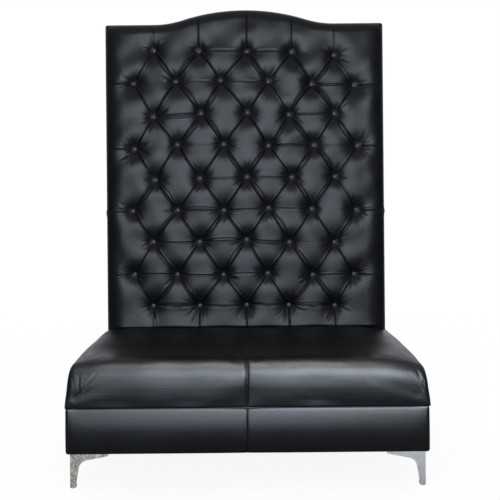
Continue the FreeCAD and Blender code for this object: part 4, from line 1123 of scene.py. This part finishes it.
def apron_band(name, path, seam_at_start):
    """A closed band along a path: its outer side, and two points further in for its flat rear."""
    z, swell, turned = apron_profile()
    sections = []
    for x, y, nx, ny in path:
        seam = 0
        if seam_at_start:
            seam = 2.2 * MM * bell(x, 3.6 * MM, 1.3) + 1.2 * MM * bell(x, 60 * MM, 1.5)
        bulge = max(0, -ny) * (1 - rounded(HALF_WIDTH - abs(x), 60 * MM))
        inside = np.minimum(swell * bulge + turned + seam, APRON_INNER - 0.3 * MM)
        section = [(x - nx * i, y - ny * i, h) for i, h in zip(inside, z)]
        section += [(x - nx * APRON_INNER, y - ny * APRON_INNER, h) for h in (z[-1], z[0])]
        sections.append(section)
    return closed_form(name, np.array(sections), seat_leather)


# the front's band ends two places past the corner, where the side's band begins
split = NEAR_SEAM_STEPS + FRONT_STEPS + CORNER_STEPS + 2
for side, sign in (("left", -1), ("right", 1)):
    path = apron_path(sign)
    front_band = apron_band(f"apron_front_{side}", path[:split], True)
    side_band = apron_band(f"apron_side_{side}", path[split - 1:], False)
    extra = ("apron_front_padding",) if sign < 0 else ()
    dress(front_band, "leather", f"apron_front_cover_{side}", *extra, fill=0.7)
    dress(side_band, "leather", f"apron_{side}_cover", f"apron_{side}_padding", fill=0.7)


# %% [markdown]
# ## Borders and the outside back
# The sides and the top of the back are wrapped by padded bands that are fullest 18 mm behind their
# front seam. They follow the silhouette: up one side, over the camelback and down the other. The same
# path, set in by a few millimetres, is the outline of the flat leather panels behind.

# %% The silhouette as a path
UP_SIDE, ROUND_SHOULDER, OVER_TOP = 150, 10, 240
SHOULDER_CORNER = 12 * MM


def silhouette(inset):
    """Points round the back from the left foot to the right foot."""
    side = HALF_WIDTH - inset
    radius = max(SHOULDER_CORNER - inset, 2 * MM)
    level = float(top_line(HALF_WIDTH, inset))
    points = [(-side, z) for z in np.linspace(BOX_TOP, level - radius, UP_SIDE, endpoint=False)]
    for a in np.linspace(math.pi, math.pi / 2, ROUND_SHOULDER, endpoint=False):
        points.append((-side + radius + radius * math.cos(a), level - radius + radius * math.sin(a)))
    up = len(points)
    for x in np.linspace(-side + radius, side - radius, OVER_TOP):
        points.append((x, float(top_line(x, inset))))
    points += [(-x, z) for x, z in points[up - 1::-1]]
    return np.array(points)


BORDER_FULL, BORDER_INNER, BORDER_REAR_INSET = 18 * MM, 9.4 * MM, 3 * MM
LAP_PROUD, LAP_HALF_HEIGHT = 3.5 * MM, 11 * MM
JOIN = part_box("left_border_upper")[0].z + 10 * MM


def border_ring(name, first, last, material):
    """A stretch of the border between two counts of the path, from the seam to the rear edge."""
    deep = REAR - LEATHER - SEAM_PLANE
    rings = []
    for back in (*np.linspace(0, BORDER_FULL, 9), *np.linspace(BORDER_FULL, deep, 9)[1:]):
        early = rounded(back, BORDER_FULL)
        late = max(back - BORDER_FULL, 0) / (deep - BORDER_FULL)
        line = silhouette(SEAM_INSET * early + BORDER_REAR_INSET * late**2)[first:last]
        lap = LAP_PROUD * bell(line[:, 1] - JOIN, LAP_HALF_HEIGHT, 4) * (1 - early)
        across = line[:, 0] + np.sign(line[:, 0]) * lap
        rings.append(np.stack([across, np.full(len(line), SEAM_PLANE + back), line[:, 1]], axis=1))
    inner = silhouette(BORDER_INNER)[first:last]
    for y in (REAR - LEATHER, SEAM_PLANE):
        rings.append(np.stack([inner[:, 0], np.full(len(inner), y), inner[:, 1]], axis=1))
    return closed_form(name, np.stack(rings, axis=1), material)


whole_path = len(silhouette(0))
below_join = int(np.searchsorted(silhouette(0)[:UP_SIDE, 1], JOIN))
stretches = {
    "border_left_lower": (0, below_join + 1, ("left_border_lower",)),
    "border_left_upper": (below_join, UP_SIDE, ("left_border_upper",)),
    "border_top": (UP_SIDE - 1, whole_path - UP_SIDE + 1, ("top_border", "border_padding")),
    "border_right_upper": (whole_path - UP_SIDE, whole_path - below_join, ("right_border_upper",)),
    "border_right_lower": (whole_path - below_join - 1, whole_path, ("right_border_lower",)),
}
for name, (first, last, stands_for) in stretches.items():
    dress(border_ring(name, first, last, border_leather), "leather", *stands_for, fill=0.7)


# %% The welt between the tufted front and the borders
def welt(name, inset, y, radius, material):
    """A thin round cord of leather that follows the silhouette."""
    line = silhouette(inset)
    way = np.gradient(line, axis=0)
    way /= np.hypot(way[:, 0], way[:, 1])[:, None]
    turn = np.linspace(0, 2 * math.pi, 10, endpoint=False)
    x = line[:, :1] - radius * np.cos(turn) * way[:, 1:]
    z = line[:, 1:] + radius * np.cos(turn) * way[:, :1]
    sections = np.stack([x, y + radius * np.sin(turn) + 0 * x, z], axis=2)
    return closed_form(name, sections, material)


# the welt is made in the lighter button leather: a painted highlight along the tufted front's edge
dress(welt("back_welt", SEAM_INSET + 0.5 * MM, SEAM_PLANE - 1.5 * MM, 2.2 * MM, highlight_painted_leather), "leather")


# %% Outside back
PANEL_INSET, PANEL_DEEP, PANEL_ROLL = 3 * MM, 6 * MM, 1.5 * MM


def rear_panel(name, low, high, material):
    """A leather panel that rolls inwards at its edges, between two heights."""
    side = HALF_WIDTH - PANEL_INSET
    up = np.linspace(0, 1, 101)[:, None]
    x = np.linspace(-1, 1, 121)[None, :] * side + 0 * up
    top = np.minimum(top_line(x, PANEL_INSET), high)
    z = low + (top - low) * up
    edge = np.minimum(np.minimum(side - np.abs(x), z - low), top - z)
    outer = np.stack([x, REAR - LEATHER * 0.2 - PANEL_ROLL * bell(edge, 4 * MM, 1), z], axis=2)
    inner = outer.copy()
    inner[:, :, 1] = REAR - PANEL_DEEP
    rows, columns = x.shape
    faces = [*grid_faces(rows, columns), *grid_faces(rows, columns, rows * columns)]
    index = np.arange(rows * columns).reshape(rows, columns)
    loop = np.concatenate([index[0], index[1:, -1], index[-1, -2::-1], index[-2:0:-1, 0]])
    for a, b in zip(loop, np.roll(loop, -1)):
        faces.append((a, b, b + rows * columns, a + rows * columns))
    points = np.concatenate([outer.reshape(-1, 3), inner.reshape(-1, 3)])
    return merged(piece(name, points, faces, material))


dress(
    rear_panel("outside_back_leather_lower", BOX_BOTTOM, JOIN, border_leather),
    "leather", "outside_back_lower", "outside_back_wadding", fill=0.8,
)
dress(
    rear_panel("outside_back_leather_upper", JOIN, CROWN_HEIGHT, border_leather),
    "leather", "outside_back_upper", fill=0.8,
)

# %% [markdown]
# ## Camera and light
# The camera looks straight at the middle from half the piece's height, two metres in front of the
# apron, and leans by half a degree, as the photographer's did. A wide soft lamp in front lights
# everything, as a bright window would. The others are kept for the seat, the back or the legs, as
# flags beside a lamp do, because one lamp alone can't give all their highlights. The room adds a weak
# light that changes with the height and the side, and the camera sees it as plain white.

# %% Camera
ROLL_DEGREES = 0.52
camera_data = bpy.data.cameras.new("camera")
camera_data.sensor_width = 36
camera_data.lens = 43.85
camera_data.shift_x = 0.0088
camera_data.shift_y = -0.0664
camera = bpy.data.objects.new("camera", camera_data)
bpy.context.scene.collection.objects.link(camera)
camera.location = (0, FRONT - 2.027, 0.906)
camera.rotation_euler = (math.pi / 2, math.radians(ROLL_DEGREES), 0)
bpy.context.scene.camera = camera
print("camera at", tuple(round(place, 3) for place in camera.location))


# %% The room's light
def ramp(tree, source, stops):
    """A run of colours along a value from 0 to 1."""
    node = add(tree, "ValToRGB", {"Fac": source})
    elements = node.color_ramp.elements
    while len(elements) < len(stops):
        elements.new(0.5)
    for element, (place, colour) in zip(elements, stops):
        element.position = place
        element.color = (*colour, 1)
    return node.outputs["Color"]


world = bpy.data.worlds.new("room")
bpy.context.scene.world = world
world.use_nodes = True
tree = world.node_tree
tree.nodes.clear()
way = add(tree, "SeparateXYZ", {"Vector": add(tree, "TexCoord", {}).outputs["Generated"]}).outputs
how_high = spread(tree, way["Z"], -1, 1, 0, 1)
CEILING_GREY = (0.27, 0.28, 0.3)
front_light = ramp(tree, how_high, [
    (0.4, (0.1, 0.1, 0.1)),
    (0.5, (0.26, 0.28, 0.31)),
    (0.7, (0.24, 0.25, 0.26)),
    (1.0, CEILING_GREY),
])
side_light = ramp(tree, how_high, [
    (0.4, (0.03, 0.03, 0.03)),
    (0.55, (0.06, 0.06, 0.06)),
    (0.8, (0.18, 0.19, 0.2)),
    (1.0, CEILING_GREY),
])
rear_light = ramp(tree, how_high, [
    (0.4, (0.1, 0.1, 0.1)),
    (0.5, (0.6, 0.62, 0.66)),
    (1.0, CEILING_GREY),
])
sideways = add(tree, "Math", {0: way["X"]}, operation="ABSOLUTE").outputs["Value"]
at_side = spread(tree, sideways, 0.35, 0.75, 0, 1)
behind = spread(tree, way["Y"], -0.1, 0.15, 0, 1)
ahead = mixed(tree, at_side, front_light, side_light)
around = mixed(tree, behind, ahead, mixed(tree, at_side, rear_light, side_light))
room = add(tree, "Background", {"Color": around, "Strength": 1.0}).outputs["Background"]
white = add(tree, "Background", {"Color": (1, 1, 1, 1)}).outputs["Background"]
by_camera = add(tree, "LightPath", {}).outputs["Is Camera Ray"]
either = add(tree, "MixShader", {"Fac": by_camera, 1: room, 2: white}).outputs["Shader"]
add(tree, "OutputWorld", {"Surface": either})
print("room:", len(tree.nodes), "nodes")


# %% Lamps
def soft_lamp(name, place, aim, size, brightness, colour):
    """A rectangular lamp whose face has a given brightness."""
    data = bpy.data.lights.new(name, "AREA")
    data.shape = "RECTANGLE"
    data.size, data.size_y = size
    data.energy = brightness * math.pi * size[0] * size[1]
    data.color = colour
    lamp = bpy.data.objects.new(name, data)
    bpy.context.scene.collection.objects.link(lamp)
    lamp.location = place
    lamp.rotation_euler = (Vector(aim) - Vector(place)).to_track_quat("-Z", "Y").to_euler()
    lamp.visible_camera = False
    return lamp


# name: place, aim, width and height, brightness, colour
LAMPS = {
    "back_window": ((0, FRONT - 2.2, 1.76), (0, 0, 0.9), (2.6, 0.85), 3.5, (0.78, 0.89, 1.0)),
    "wide_window": ((-0.1, FRONT - 2.7, 0.85), (-0.1, 0, 0.9), (2.6, 1.4), 2.2, (0.74, 0.86, 1.0)),
    "seat_window": ((0.1, FRONT - 2.2, 2.2), (0, 0, 0.6), (2.8, 1.5), 4.6, (0.8, 0.9, 1.0)),
    "right_window": ((1.2, FRONT - 2.1, 2.1), (0.2, 0, 0.6), (1.6, 1.5), 5.0, (0.8, 0.9, 1.0)),
    "leg_window": ((0, FRONT - 1.5, 0.32), (0, 0, 0.1), (2.6, 0.5), 2.6, (1.0, 0.98, 0.95)),
    "ceiling_panel": ((0, FRONT - 0.75, 2.8), (0, FRONT + 0.02, 0.4), (2.6, 2.0), 0.3, (1.0, 1.0, 0.9)),
}
lamps = {name: soft_lamp(name, *values) for name, values in LAMPS.items()}
lamps["ceiling_panel"].data.spread = math.radians(36)


def only_for(name, chosen_lamps, beginnings):
    """Keeps some lamps for the pieces whose names begin in one of these ways, as flags do."""
    lit = bpy.data.collections.new(name)
    for obj in bpy.context.scene.objects:
        if obj.type == "MESH" and obj.name.startswith(beginnings):
            lit.objects.link(obj)
    for lamp in chosen_lamps:
        lamps[lamp].light_linking.receiver_collection = lit


only_for("lit_seat", ("seat_window", "right_window", "ceiling_panel"),
         ("seat_leather", "seat_seam", "apron_front", "apron_side"))
only_for("lit_back", ("back_window",), ("tufted", "back_", "border_", "outside_"))
only_for("lit_legs", ("leg_window",),
         ("front_left_leg", "front_right_leg", "rear_left_leg", "rear_right_leg"))

# %% [markdown]
# The floor is a wide plane that isn't part of the piece. The camera sees it nearly white, as the
# cut-out ground of the photograph, while the leather above it mirrors its own grey.

# %% Floor
nothing_selected()
bpy.ops.mesh.primitive_plane_add(size=6, location=(0, 0, 0))
floor = bpy.context.object
floor.name = "floor"
floor_material, tree, shader = new_material("floor")
set_inputs(tree, shader, {"Base Color": (0.3, 0.3, 0.3, 1), "Roughness": 0.9})
grey = shader.outputs["BSDF"]
glow = add(tree, "Emission", {"Strength": 0.9}).outputs["Emission"]
bright = add(tree, "AddShader", {0: grey, 1: glow}).outputs["Shader"]
by_camera = add(tree, "LightPath", {}).outputs["Is Camera Ray"]
seen = add(tree, "MixShader", {"Fac": by_camera, 1: grey, 2: bright}).outputs["Shader"]
set_inputs(tree, tree.nodes["Material Output"], {"Surface": seen})
floor.data.materials.append(floor_material)
bpy.context.scene.view_settings.view_transform = "Standard"
